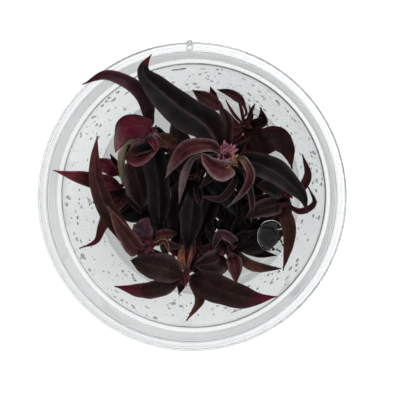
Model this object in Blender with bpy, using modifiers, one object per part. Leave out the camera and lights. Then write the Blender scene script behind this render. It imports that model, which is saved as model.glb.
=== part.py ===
"""Dark red aquarium plantlets growing from clear gel in an open, clear plastic cup.

The cup stands on its base with its axis on Z. The tear notch of its flange points to +Y.
"""
import math
from collections import namedtuple

import bmesh
import bpy
from mathutils import Matrix, Vector

MM = 0.001
OBJECT_NAME = "alternanthera_reineckii_cup"
GAP = 0.3 * MM
UP = Vector((0, 0, 1))

# Cup
CUP_SIDES = 40
CUP_HEIGHT = 60 * MM
BASE_RADIUS = 38.2 * MM
FLOOR_THICKNESS = 1 * MM
LOWER_WALL = 0.9 * MM
UPPER_WALL = 0.8 * MM
LEDGE_HEIGHT = 49.8 * MM
LEDGE_INNER_RADIUS = 44.5 * MM
LEDGE_OUTER_RADIUS = 46 * MM
LIP_RADIUS = 46.6 * MM
FLANGE_RADIUS = 50 * MM
FLANGE_HEIGHT = 58.8 * MM
FLANGE_THICKNESS = 1 * MM
SKIRT_DEPTH = 2.8 * MM
SKIRT_THICKNESS = 0.8 * MM
EDGE_ROUND = 0.4 * MM

# Tear notch and lug on the flange
NOTCH_ANGLE = math.radians(91)
EYE_RADIUS = 48.75 * MM
EYE_RING_OUTER = 1.05 * MM
EYE_RING_RISE = 0.5 * MM
EYE_HOLE = 0.5 * MM
LUG_WIDTH = 2.9 * MM
LUG_REACH = 1.3 * MM
LUG_THICKNESS = 0.7 * MM

# Gel
GEL_HEIGHT = 14 * MM
GEL_DIP = 0.8 * MM
POCKET_DEPTH = 9 * MM
POCKET_SIDES = 10
FOOT_DEPTH = POCKET_DEPTH - GAP

# Stems: distance beyond the stem's end and swelling of the shoot tip
STEM_STEPS = 8
BUD_FORM = ((1 * MM, 1.25), (2.4 * MM, 1.1), (3.4 * MM, 0.4))

# Leaves
LEAF_THICKNESS = 0.5 * MM
PETIOLE_WIDTH = 1.7 * MM
TIP_WIDTH = 0.4 * MM
OUTLINE_SHARPNESS = 2.1
AXIL_GAP = 0.7 * MM
AXIL_REACH = 1.5 * MM
AXIL_RISE = 0.7 * MM
ROUTE_STEPS = 24

# Colours, linear
CLEAR = (0.86, 0.88, 0.88)
GEL_TINT = (0.82, 0.86, 0.80)
DARK = (0.020, 0.009, 0.011)
MAROON = (0.050, 0.012, 0.020)
RED = (0.120, 0.016, 0.028)
PINK = (0.260, 0.060, 0.110)
TAN = (0.250, 0.170, 0.090)
BROWN = (0.090, 0.040, 0.030)

# A plantlet: where its foot enters the gel, the route of its stem up to its shoot tip, all in mm
Plantlet = namedtuple("Plantlet", "name foot route radius colour")
PLANTLETS = (
    Plantlet("top", (9, 8), ((9.5, 9, 26), (11, 12, 44), (11.7, 13.6, 57)), 1.2, BROWN),
    Plantlet("west", (-18, -4),
             ((-22, 0, 26), (-25.3, 5, 36), (-25, 14, 45), (-19, 20, 51.5), (-13.5, 20, 53.5)), 1.4, TAN),
    Plantlet("south_west", (-8, -10), ((-9.5, -11.5, 28), (-13, -15.5, 42), (-14.8, -17.4, 49.5)), 1.2, BROWN),
    Plantlet("east", (20, 2), ((23, 1.5, 26), (29, 0.5, 37), (32.5, 0, 43)), 1.1, BROWN),
    Plantlet("north_east", (12, 18), ((13.5, 20, 26), (16.5, 23, 36), (17.5, 24.4, 41)), 1.1, BROWN),
    Plantlet("south", (-3, -20), ((-3, -22.5, 26), (-3.2, -27.5, 37), (-3.3, -30, 43)), 1.2, BROWN),
    Plantlet("south_east", (8, -12), ((9, -14.5, 24), (11, -19, 33), (11.6, -20.4, 37)), 1.1, BROWN),
    Plantlet("middle", (0, 0), ((0, 2, 26), (0.5, 6, 41.5)), 1.1, BROWN),
)

# A leaf: the plantlet that carries it, the height in mm where it leaves the stem, its route from
# there to its tip in mm, its width in mm, where along it is widest, the angle that its halves
# fold up and its roll about the route in degrees, its colour, and whether it is a broad one
Leaf = namedtuple("Leaf", "name plantlet height route width widest fold roll colour wide",
                  defaults=(0.45, 18, 0, DARK, False))

LEAVES = (
    Leaf("leaf_top_long", "top", 51,
         ((4.5, 23, 59.5), (-4, 29, 66), (-10, 34, 68.5), (-14, 38, 69), (-14.5, 41, 69.5),
          (-12, 44.5, 71)), 12.5, 0.45, 20, -12, wide=True),
    Leaf("leaf_top_broad", "top", 49,
         ((20.5, 11, 55.5), (26.5, 8.5, 58), (32.5, 4, 57), (36.5, -0.5, 54), (38.5, -6, 50)),
         8.5, 0.4, 16, wide=True),
    Leaf("leaf_top_north", "top", 46,
         ((10.5, 20, 49), (11, 25.5, 50), (8.5, 31, 49)), 6),
    Leaf("leaf_top_arching", "top", 56,
         ((5.5, 16.7, 60.2), (-0.5, 16, 60), (-5, 12.5, 57), (-9.5, 6, 51)), 5.5, 0.45, 30, colour=MAROON),
    Leaf("leaf_top_cupped", "top", 56,
         ((11, 9, 59.5), (8, 9, 61), (3, 14, 61)), 8, 0.5, 40, colour=PINK),
    Leaf("leaf_top_curled", "top", 56,
         ((17.5, 11.5, 61), (20, 6.5, 60), (17.5, 1, 54.5), (11.5, -4, 48)), 3.4, 0.45, 35, colour=MAROON),
    Leaf("leaf_top_short", "top", 43,
         ((14, 5, 47), (9.5, -1, 46.5), (2.5, -0.5, 45)), 3.5, 0.6, 20, colour=MAROON),
    Leaf("leaf_top_low_south", "top", 33,
         ((7.5, 4, 37), (4, -5.5, 37.5), (0, -17, 34)), 9),
    Leaf("leaf_top_low_east", "top", 33,
         ((17, 6, 37), (19.5, -5.5, 36), (20, -17, 31)), 8),
    Leaf("leaf_west_long", "west", 52.5,
         ((-14.5, 24.5, 53), (-15, 29, 58), (-16.5, 33.5, 64), (-21, 37, 67), (-27, 38.5, 68),
          (-34.5, 35.8, 65.5)), 5.6, 0.42, 18, wide=True),
    Leaf("leaf_west_hood", "west", 52.8,
         ((-13.5, 22.5, 58.5), (-18, 23, 61), (-23, 21, 60), (-26, 14.5, 53)), 8, 0.5, -20,
         colour=RED, wide=True),
    Leaf("leaf_west_cupped", "west", 52,
         ((-15, 16, 54), (-18.5, 13.5, 55), (-23, 12.5, 54)), 9, 0.5, 30, colour=RED),
    Leaf("leaf_west_hanging", "west", 45,
         ((-21, 11, 46), (-19, 3, 45), (-18.5, -5, 39)), 10, 0.5, 12, colour=MAROON),
    Leaf("leaf_west_red", "west", 35,
         ((-30, 4, 43), (-37, 6, 55), (-44.5, 8.5, 61.5)), 6, 0.45, 14, colour=RED),
    Leaf("leaf_west_tailed", "west", 30,
         ((-29, -5, 38), (-32, -11, 43), (-34, -16, 45), (-39.5, -18.3, 46)), 5, 0.36, 14,
         colour=MAROON),
    Leaf("leaf_west_small", "west", 39,
         ((-29.5, 9, 42.5), (-34, 12.5, 43)), 5, 0.6, 10, colour=RED),
    Leaf("leaf_south_west_long", "south_west", 39,
         ((-20, -17.5, 44.3), (-24.5, -11.5, 49.5), (-29, -3.5, 54), (-31.5, 5.5, 57), (-32, 12.5, 57.5),
          (-31.3, 20, 57)), 6.5, 0.5, 14, wide=True),
    Leaf("leaf_south_west_maroon", "south_west", 48,
         ((-19, -17.5, 52), (-23.5, -10.5, 56), (-27.5, -3, 60)), 5.5, 0.5, 26, colour=MAROON),
    Leaf("leaf_south_west_round", "south_west", 49,
         ((-16, -13.5, 54), (-16, -10, 57.5), (-14.3, -7, 57.5)), 6.5, 0.6, -18, colour=RED),
    Leaf("leaf_south_west_curl", "south_west", 49,
         ((-12, -16, 53), (-9.5, -15, 54), (-8, -19, 52)), 3, 0.5, 35, colour=MAROON),
    Leaf("leaf_south_west_upright", "south_west", 39,
         ((-12, -7, 46), (-12, 4, 49), (-13.5, 14, 49.5), (-13, 24, 48)), 9, 0.55),
    Leaf("leaf_south_long", "south", 42,
         ((4, -30, 48), (12.5, -32.5, 53), (20.5, -34, 54.5), (28, -33.5, 54)), 10, 0.42, 12, wide=True),
    Leaf("leaf_south_blunt", "south", 42,
         ((-10, -25, 47), (-16.5, -23.2, 48), (-22, -22.5, 45)), 10, 0.48, 12),
    Leaf("leaf_south_pointed", "south", 38.5,
         ((-11, -32, 43), (-18.5, -33, 44.5), (-27.5, -31.5, 45)), 6.5, 0.42, 14, colour=MAROON),
    Leaf("leaf_south_tip", "south", 39,
         ((2, -36.5, 43.5), (-2.5, -42.5, 49)), 4.2, 0.4, 18, colour=RED),
    Leaf("leaf_south_inner", "south", 27,
         ((1, -20, 30), (3.5, -14, 30.5), (3, -6, 29)), 8),
    Leaf("leaf_south_east_arched", "south_east", 36.5,
         ((13.5, -16, 43), (9, -13.5, 45), (6, -20, 41)), 3.5, 0.5, 20, colour=MAROON),
    Leaf("leaf_south_east_inner", "south_east", 26,
         ((12, -10, 32), (13.5, -4, 33.5), (13, 3, 32)), 9),
    Leaf("leaf_south_east_broad", "south_east", 34,
         ((8, -23.5, 38), (5, -24.5, 39), (-0.5, -25, 38)), 9.5, 0.5, 16, colour=MAROON),
    Leaf("leaf_south_east_pale", "south_east", 35.5,
         ((14, -25, 38.5), (14.5, -31.5, 40)), 6, 0.45, 24, colour=MAROON),
    Leaf("leaf_south_east_brown", "south_east", 32.5,
         ((19, -25, 35), (24.5, -26.3, 36), (30.5, -26.5, 37)), 4, 0.5, 18, colour=BROWN),
    Leaf("leaf_south_east_dark", "south_east", 30,
         ((19, -20, 33), (24.5, -21.5, 34), (29, -22, 35)), 4, 0.5, 18),
    Leaf("leaf_south_east_low", "south_east", 32,
         ((18, -17, 36), (25, -16, 38), (32, -12.5, 39)), 9, 0.45, 6),
    Leaf("leaf_east_hanging", "east", 34,
         ((31, -6.5, 42), (33, -12, 43.5), (32.4, -18.5, 43.5), (30.8, -26.5, 42)), 5, 0.45, 14,
         colour=BROWN),
    Leaf("leaf_east_crescent", "east", 41.5,
         ((37, 2.5, 46), (38.5, 7.5, 51), (36.5, 14, 52)), 3, 0.5, 18, colour=MAROON),
    Leaf("leaf_east_loop", "east", 40.5,
         ((36.5, -5.5, 46), (41, -2.5, 49.5), (38.5, 3, 52)), 2.6, 0.5, 24, colour=MAROON),
    Leaf("leaf_east_inner", "east", 39,
         ((28, -3.5, 44), (23, -5, 45), (17.5, -8, 43)), 7, 0.45, 14, colour=MAROON),
    Leaf("leaf_east_dark", "east", 42,
         ((29, 3, 47), (21.5, 3.5, 46)), 8.5),
    Leaf("leaf_north_east_high", "north_east", 39.5,
         ((18, 28.5, 45), (16, 32.5, 47), (12, 35, 48), (8, 36, 48)), 3.6, 0.5, 18, colour=RED),
    Leaf("leaf_north_east_left", "north_east", 38.5,
         ((11, 29, 43), (5, 32.5, 46), (-0.5, 36, 47)), 5.2, 0.5, 18, colour=MAROON),
    Leaf("leaf_north_east_under", "north_east", 34,
         ((11.5, 29, 37.5), (7.5, 32, 40), (5.5, 37.5, 44)), 3.5, 0.5, 18, colour=MAROON),
    Leaf("leaf_north_east_broad", "north_east", 39.5,
         ((23.5, 18.5, 46), (27.5, 19.5, 47), (31.5, 17, 46), (34, 9, 43)), 9.5, 0.4, 12, wide=True),
    Leaf("leaf_north_east_small", "north_east", 37,
         ((21, 24.5, 42), (24.5, 26, 45), (22.5, 30, 47)), 4, 0.5, 18, colour=BROWN),
    Leaf("leaf_north_east_low", "north_east", 32,
         ((17, 18.5, 36), (19, 14.5, 39), (21, 10.5, 39)), 8, colour=MAROON),
    Leaf("leaf_middle_south", "middle", 38,
         ((-0.5, -2, 43), (-1.5, -10, 42), (-3, -20, 38)), 8.5, 0.5),
    Leaf("leaf_middle_south_west", "middle", 36,
         ((-5.5, 1, 38.5), (-6.5, -9, 36.5), (-7.5, -20, 34)), 8.5, 0.45),
    Leaf("leaf_middle_east", "middle", 36.5,
         ((4.5, 6.5, 41.5), (9.5, 2, 42.5), (15.5, -8.5, 40)), 8),
    Leaf("leaf_middle_north", "middle", 38,
         ((-4, 14, 44), (-5.5, 21, 46), (-8, 27.5, 46)), 10),
    Leaf("leaf_middle_low", "middle", 27,
         ((-9, -2, 31), (-18, -5.5, 33), (-28, -8, 36)), 10, 0.58),
)

# Drop of clear gel caught between the leaves on the east side
DROP_CENTRE = Vector((26.5, -14.7, 41)) * MM
DROP_SIZE = Vector((3.2, 4.8, 1.7)) * MM
DROP_SEGMENTS = 12
DROP_RINGS = 8


def clear_scene():
    for item in list(bpy.data.objects):
        bpy.data.objects.remove(item, do_unlink=True)


def new_collection(name):
    collection = bpy.data.collections.new(name)
    bpy.context.scene.collection.children.link(collection)
    return collection


def new_material(name, colour, roughness, transmission=0.0):
    material = bpy.data.materials.new(name)
    material.use_nodes = True
    shader = material.node_tree.nodes["Principled BSDF"]
    shader.inputs["Base Color"].default_value = (*colour, 1)
    shader.inputs["Roughness"].default_value = roughness
    shader.inputs["Metallic"].default_value = 0.0
    shader.inputs["Transmission Weight"].default_value = transmission
    return material


def mesh_object(name, bm, collection, material=None):
    mesh = bpy.data.meshes.new(name)
    bm.to_mesh(mesh)
    bm.free()
    item = bpy.data.objects.new(name, mesh)
    collection.objects.link(item)
    if material:
        mesh.materials.append(material)
    return item


def turned_object(name, profile, collection, material):
    """A closed solid turned about Z. The profile runs up the inside and down the outside."""
    bm = bmesh.new()
    points = [bm.verts.new((radius, 0, height)) for radius, height in profile]
    for start, end in zip(points, points[1:]):
        bm.edges.new((start, end))
    item = mesh_object(name, bm, collection, material)
    screw = item.modifiers.new("Turn", "SCREW")
    screw.steps = CUP_SIDES
    screw.render_steps = CUP_SIDES
    screw.use_merge_vertices = True
    screw.merge_threshold = 0.01 * MM
    screw.use_smooth_shade = False
    return item


def add_boolean(item, cutter, operation):
    boolean = item.modifiers.new(cutter.name, "BOOLEAN")
    boolean.object = cutter
    boolean.operation = operation
    boolean.solver = "EXACT"


def hidden_tool(name, bm, tools):
    tool = mesh_object(name, bm, tools)
    tool.hide_render = True
    tool.display_type = "WIRE"
    return tool


def polar(radius, angle, height):
    return Vector((radius * math.cos(angle), radius * math.sin(angle), height))


# Cup

def cup_profile():
    floor = FLOOR_THICKNESS
    inner_base = BASE_RADIUS - LOWER_WALL
    lip_outer = LIP_RADIUS + UPPER_WALL
    skirt_inner = FLANGE_RADIUS - SKIRT_THICKNESS
    flange_under = FLANGE_HEIGHT - FLANGE_THICKNESS
    skirt_foot = FLANGE_HEIGHT - SKIRT_DEPTH
    return (
        (0, floor),
        (inner_base, floor),
        (inner_base + 2 * EDGE_ROUND, floor + 2 * EDGE_ROUND),
        (LEDGE_INNER_RADIUS, LEDGE_HEIGHT),
        (LEDGE_OUTER_RADIUS, LEDGE_HEIGHT + EDGE_ROUND),
        (LIP_RADIUS, CUP_HEIGHT - EDGE_ROUND),
        (LIP_RADIUS + EDGE_ROUND, CUP_HEIGHT),
        (lip_outer - EDGE_ROUND / 2, CUP_HEIGHT),
        (lip_outer + EDGE_ROUND / 2, FLANGE_HEIGHT + EDGE_ROUND / 2),
        (FLANGE_RADIUS - EDGE_ROUND, FLANGE_HEIGHT),
        (FLANGE_RADIUS, FLANGE_HEIGHT - EDGE_ROUND),
        (FLANGE_RADIUS, skirt_foot),
        (skirt_inner, skirt_foot),
        (skirt_inner, flange_under),
        (lip_outer, flange_under),
        (LEDGE_OUTER_RADIUS + UPPER_WALL, LEDGE_HEIGHT),
        (LEDGE_INNER_RADIUS + LOWER_WALL, LEDGE_HEIGHT - LOWER_WALL),
        (BASE_RADIUS + EDGE_ROUND, 3 * EDGE_ROUND),
        (BASE_RADIUS, 0),
        (0, 0),
    )


def radial_box(centre, reach, width, thickness):
    """A box whose length runs away from the cup's axis at the notch."""
    bm = bmesh.new()
    place = Matrix.Translation(centre) @ Matrix.Rotation(NOTCH_ANGLE, 4, "Z")
    bmesh.ops.create_cube(bm, size=1, matrix=place @ Matrix.Diagonal((reach, width, thickness, 1)))
    return bm


def cylinder(centre, radius, length, sides):
    bm = bmesh.new()
    bmesh.ops.create_cone(bm, cap_ends=True, segments=sides, radius1=radius, radius2=radius,
                          depth=length, matrix=Matrix.Translation(centre))
    return bm


def make_cup(pieces, tools):
    material = new_material("clear_plastic", CLEAR, 0.05, 1.0)
    cup = turned_object("cup", cup_profile(), pieces, material)
    eye = polar(EYE_RADIUS, NOTCH_ANGLE, FLANGE_HEIGHT - FLANGE_THICKNESS / 2)
    ring_length = FLANGE_THICKNESS + 2 * EYE_RING_RISE - GAP
    ring = cylinder(eye + UP * EYE_RING_RISE / 2, EYE_RING_OUTER, ring_length, 12)
    hole = cylinder(eye, EYE_HOLE, 5 * FLANGE_THICKNESS, 8)
    lug_centre = polar(FLANGE_RADIUS, NOTCH_ANGLE, FLANGE_HEIGHT - SKIRT_DEPTH / 2)
    lug = radial_box(lug_centre, 2 * LUG_REACH, LUG_WIDTH, LUG_THICKNESS)
    add_boolean(cup, hidden_tool("eye_ring", ring, tools), "UNION")
    add_boolean(cup, hidden_tool("tear_lug", lug, tools), "UNION")
    add_boolean(cup, hidden_tool("eye_hole", hole, tools), "DIFFERENCE")


# Gel

def inner_wall_radius(height):
    """Radius of the cup's tapering inner wall at a height."""
    low = FLOOR_THICKNESS + 2 * EDGE_ROUND
    low_radius = BASE_RADIUS - LOWER_WALL + 2 * EDGE_ROUND
    share = (height - low) / (LEDGE_HEIGHT - low)
    return low_radius + share * (LEDGE_INNER_RADIUS - low_radius)


def gel_profile():
    bottom = FLOOR_THICKNESS + GAP
    corner = bottom + 2 * EDGE_ROUND
    return (
        (0, GEL_HEIGHT - GEL_DIP),
        (inner_wall_radius(GEL_HEIGHT) - 3 * MM, GEL_HEIGHT - GEL_DIP),
        (inner_wall_radius(GEL_HEIGHT) - 1.3 * MM, GEL_HEIGHT - GEL_DIP / 2),
        (inner_wall_radius(GEL_HEIGHT) - GAP, GEL_HEIGHT),
        (inner_wall_radius(corner) - GAP, corner),
        (BASE_RADIUS - LOWER_WALL - GAP, bottom),
        (0, bottom),
    )


def make_gel(pieces, tools):
    material = new_material("clear_gel", GEL_TINT, 0.08, 1.0)
    gel = turned_object("gel", gel_profile(), pieces, material)
    for plantlet in PLANTLETS:
        foot = Vector((*plantlet.foot, 0)) * MM
        centre = foot + UP * GEL_HEIGHT
        pocket = cylinder(centre, plantlet.radius * MM + 2 * GAP, 2 * POCKET_DEPTH, POCKET_SIDES)
        add_boolean(gel, hidden_tool("pocket_" + plantlet.name, pocket, tools), "DIFFERENCE")


# Routes

def blend_route(before, start, end, after, share):
    """A point of the smooth curve between start and end."""
    pull_start = (end - before) / 2
    pull_end = (after - start) / 2
    s = share
    return ((2 * s**3 - 3 * s**2 + 1) * start + (s**3 - 2 * s**2 + s) * pull_start
            + (3 * s**2 - 2 * s**3) * end + (s**3 - s**2) * pull_end)


def smooth_route(points, count):
    """Evenly spaced points, one more than count, on a smooth curve through the given ones."""
    ends = [2 * points[0] - points[1], *points, 2 * points[-1] - points[-2]]
    fine = []
    for before, start, end, after in zip(ends, ends[1:], ends[2:], ends[3:]):
        fine += [blend_route(before, start, end, after, step / ROUTE_STEPS) for step in range(ROUTE_STEPS)]
    fine.append(points[-1])
    lengths = [0.0]
    for start, end in zip(fine, fine[1:]):
        lengths.append(lengths[-1] + (end - start).length)
    even = []
    piece = 0
    for step in range(count + 1):
        target = lengths[-1] * step / count
        while piece < len(fine) - 2 and lengths[piece + 1] < target:
            piece += 1
        share = (target - lengths[piece]) / (lengths[piece + 1] - lengths[piece])
        even.append(fine[piece].lerp(fine[piece + 1], share))
    return even


# Stems

def stem_route(plantlet):
    foot = Vector((*plantlet.foot, 0)) * MM
    start = foot + UP * (GEL_HEIGHT - FOOT_DEPTH)
    surface = foot + UP * (GEL_HEIGHT + 2 * MM)
    return [start, *smooth_route([surface, *(Vector(point) * MM for point in plantlet.route)], STEM_STEPS)]


def make_stem(plantlet, pieces):
    curve = bpy.data.curves.new("stem_" + plantlet.name, "CURVE")
    curve.dimensions = "3D"
    curve.bevel_depth = plantlet.radius * MM
    curve.bevel_resolution = 2
    curve.use_fill_caps = True
    route = stem_route(plantlet)
    onward = (route[-1] - route[-2]).normalized()
    bud = [(route[-1] + onward * reach, swell) for reach, swell in BUD_FORM]
    spline = curve.splines.new("POLY")
    spline.points.add(len(route) + len(bud) - 1)
    for point, (place, swell) in zip(spline.points, [(place, 1) for place in route] + bud):
        point.co = (*place, 1)
        point.radius = swell
    curve.materials.append(new_material("stem_" + plantlet.name, plantlet.colour, 0.5))
    pieces.objects.link(bpy.data.objects.new("stem_" + plantlet.name, curve))


def place_on_stem(plantlet, height):
    """The point of the stem's axis at a height, and the stem's direction there."""
    route = stem_route(plantlet)
    for low, high in zip(route, route[1:]):
        if high.z >= height:
            break
    share = min(1, (height - low.z) / (high.z - low.z))
    return low.lerp(high, share), (high - low).normalized()


# Leaves

def leaf_spine(leaf, count):
    plantlet = next(each for each in PLANTLETS if each.name == leaf.plantlet)
    axis, growth = place_on_stem(plantlet, leaf.height * MM)
    route = [Vector(point) * MM for point in leaf.route]
    away = route[0] - axis
    outward = (away - growth * away.dot(growth)).normalized()
    start = axis + outward * (plantlet.radius * MM + AXIL_GAP + LEAF_THICKNESS / 2)
    axil = start + outward * AXIL_REACH + growth * AXIL_RISE
    return smooth_route([start, axil, *route], count)


def leaf_frames(spine):
    """A side and an upward direction for each point, level at the middle, never twisting."""
    ends = [spine[0], *spine, spine[-1]]
    along = [(after - before).normalized() for before, after in zip(ends, ends[2:])]
    middle = len(spine) // 2
    sides = {middle: along[middle].cross(UP).normalized()}
    for step in (1, -1):
        index = middle + step
        while 0 <= index < len(spine):
            side = sides[index - step]
            sides[index] = (side - along[index] * side.dot(along[index])).normalized()
            index += step
    return [(along[index], sides[index]) for index in range(len(spine))]


def blade_width(leaf, share):
    """Width of the leaf at a share of its length: a stalk, a lance-shaped blade and a fine tip."""
    rise = OUTLINE_SHARPNESS * leaf.widest
    fall = OUTLINE_SHARPNESS * (1 - leaf.widest)
    form = (share / leaf.widest) ** rise * ((1 - share) / (1 - leaf.widest)) ** fall
    stalk = PETIOLE_WIDTH + (TIP_WIDTH - PETIOLE_WIDTH) * share
    return max(leaf.width * MM * form, stalk)


def make_leaf(leaf, pieces):
    across = 4 if leaf.wide else 2
    count = 10 if leaf.wide else 7
    spine = leaf_spine(leaf, count)
    frames = leaf_frames(spine)
    bm = bmesh.new()
    bmesh.ops.create_grid(bm, x_segments=across, y_segments=count, size=1)
    for vert in bm.verts:
        share = (vert.co.y + 1) / 2
        index = round(share * count)
        along, side = frames[index]
        turn = Matrix.Rotation(math.radians(leaf.roll), 3, along)
        side = turn @ side
        normal = side.cross(along)
        reach = vert.co.x * blade_width(leaf, share) / 2
        fold = math.radians(leaf.fold)
        vert.co = spine[index] + side * reach * math.cos(fold) + normal * abs(reach) * math.sin(fold)
    bmesh.ops.recalc_face_normals(bm, faces=bm.faces)
    item = mesh_object(leaf.name, bm, pieces, new_material(leaf.name, leaf.colour, 0.42))
    solidify = item.modifiers.new("Thickness", "SOLIDIFY")
    solidify.thickness = LEAF_THICKNESS
    solidify.offset = 0
    return item


def make_drop(pieces):
    bm = bmesh.new()
    place = Matrix.Translation(DROP_CENTRE) @ Matrix.Diagonal((*DROP_SIZE, 1))
    bmesh.ops.create_uvsphere(bm, u_segments=DROP_SEGMENTS, v_segments=DROP_RINGS, radius=1, matrix=place)
    mesh_object("gel_drop", bm, pieces, new_material("gel_drop", GEL_TINT, 0.03, 1.0))


def main():
    clear_scene()
    pieces = new_collection(OBJECT_NAME)
    tools = new_collection("shaping_tools")
    make_cup(pieces, tools)
    make_gel(pieces, tools)
    for plantlet in PLANTLETS:
        make_stem(plantlet, pieces)
    for leaf_values in LEAVES:
        make_leaf(leaf_values, pieces)
    make_drop(pieces)


main()
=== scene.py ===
"""Dark red aquarium plantlets in a clear cup, finished around the packed model.

It is laid out as an add-on: settings, one operator for each piece or group of like pieces, and a
panel. Run as a script, it builds everything in order.
"""

import math
import random
from collections import namedtuple

import bmesh
import bpy
from bpy.props import FloatProperty, FloatVectorProperty, IntProperty, PointerProperty
from mathutils import Matrix, Vector, noise


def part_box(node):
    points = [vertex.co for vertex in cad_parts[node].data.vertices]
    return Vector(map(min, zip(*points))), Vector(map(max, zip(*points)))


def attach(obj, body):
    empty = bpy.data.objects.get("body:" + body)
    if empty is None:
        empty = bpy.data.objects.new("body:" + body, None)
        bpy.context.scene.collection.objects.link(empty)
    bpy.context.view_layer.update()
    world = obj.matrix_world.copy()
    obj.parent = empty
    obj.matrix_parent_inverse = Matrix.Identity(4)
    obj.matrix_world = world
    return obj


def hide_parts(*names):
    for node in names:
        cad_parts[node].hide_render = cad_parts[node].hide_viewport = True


bl_info = {
    "name": "Red Plantlets in a Clear Cup",
    "version": (1, 0, 0),
    "blender": (4, 5, 0),
    "location": "3D View > Sidebar > Plantlets",
    "description": "Builds dark red aquarium plantlets, their growing gel and their clear cup",
    "category": "Object",
}

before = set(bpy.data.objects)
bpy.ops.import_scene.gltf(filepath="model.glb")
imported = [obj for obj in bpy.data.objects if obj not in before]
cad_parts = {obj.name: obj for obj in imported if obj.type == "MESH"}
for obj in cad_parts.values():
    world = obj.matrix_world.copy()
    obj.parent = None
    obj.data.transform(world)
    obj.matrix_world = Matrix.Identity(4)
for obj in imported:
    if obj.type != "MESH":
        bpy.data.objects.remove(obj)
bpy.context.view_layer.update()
CUP_LOW, CUP_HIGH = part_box("cup")
GEL_LOW, GEL_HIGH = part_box("gel")
DROP_LOW, DROP_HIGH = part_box("gel_drop")

MM = 0.001
UP = Vector((0, 0, 1))
BODY = "root"

# Record slots of the leaves
DARK = "leaf_dark"
MAROON = "leaf_maroon"
RED = "leaf_red"
PINK = "leaf_pink"
BROWN = "leaf_brown"

# A plantlet: where its foot enters the gel, the route of its stem up to its shoot tip and its radius
# in mm, and its slot
Plantlet = namedtuple("Plantlet", "name foot route radius slot")
PLANTLETS = (
    Plantlet("top", (9, 8), ((9.5, 9, 26), (11, 12, 44), (11.7, 13.6, 57)), 1.2, "stem_brown"),
    Plantlet("west", (-18, -4),
             ((-22, 0, 26), (-25.3, 5, 36), (-25, 14, 45), (-19, 20, 51.5), (-13.5, 20, 53.5)), 1.4,
             "stem_tan"),
    Plantlet("south_west", (-8, -10), ((-9.5, -11.5, 28), (-13, -15.5, 42), (-14.8, -17.4, 49.5)), 1.2,
             "stem_brown"),
    Plantlet("east", (20, 2), ((23, 1.5, 26), (29, 0.5, 37), (32.5, 0, 43)), 1.1, "stem_brown"),
    Plantlet("north_east", (12, 18), ((13.5, 20, 26), (16.5, 23, 36), (17.5, 24.4, 41)), 1.1, "stem_brown"),
    Plantlet("south", (-3, -20), ((-3, -22.5, 26), (-3.2, -27.5, 37), (-3.3, -30, 43)), 1.2, "stem_brown"),
    Plantlet("south_east", (8, -12), ((9, -14.5, 24), (11, -19, 33), (11.6, -20.4, 37)), 1.1, "stem_brown"),
    Plantlet("middle", (0, 0), ((0, 2, 26), (0.5, 6, 41.5)), 1.1, "stem_brown"),
)

# A leaf's tones at its base, middle and tip, how far its edges and its midrib pale, how far its edge
# waves in mm, where along it the tip's tone starts, and the tone of its edges. Pale edges are partly
# the leaf's own paler margin and partly painted highlight where the edges catch the light
Looks = namedtuple("Looks", "base middle tip edge rib wave tip_from rim",
                   defaults=(0.25, 0.3, 0.25, 0.6, "mauve"))

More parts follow.
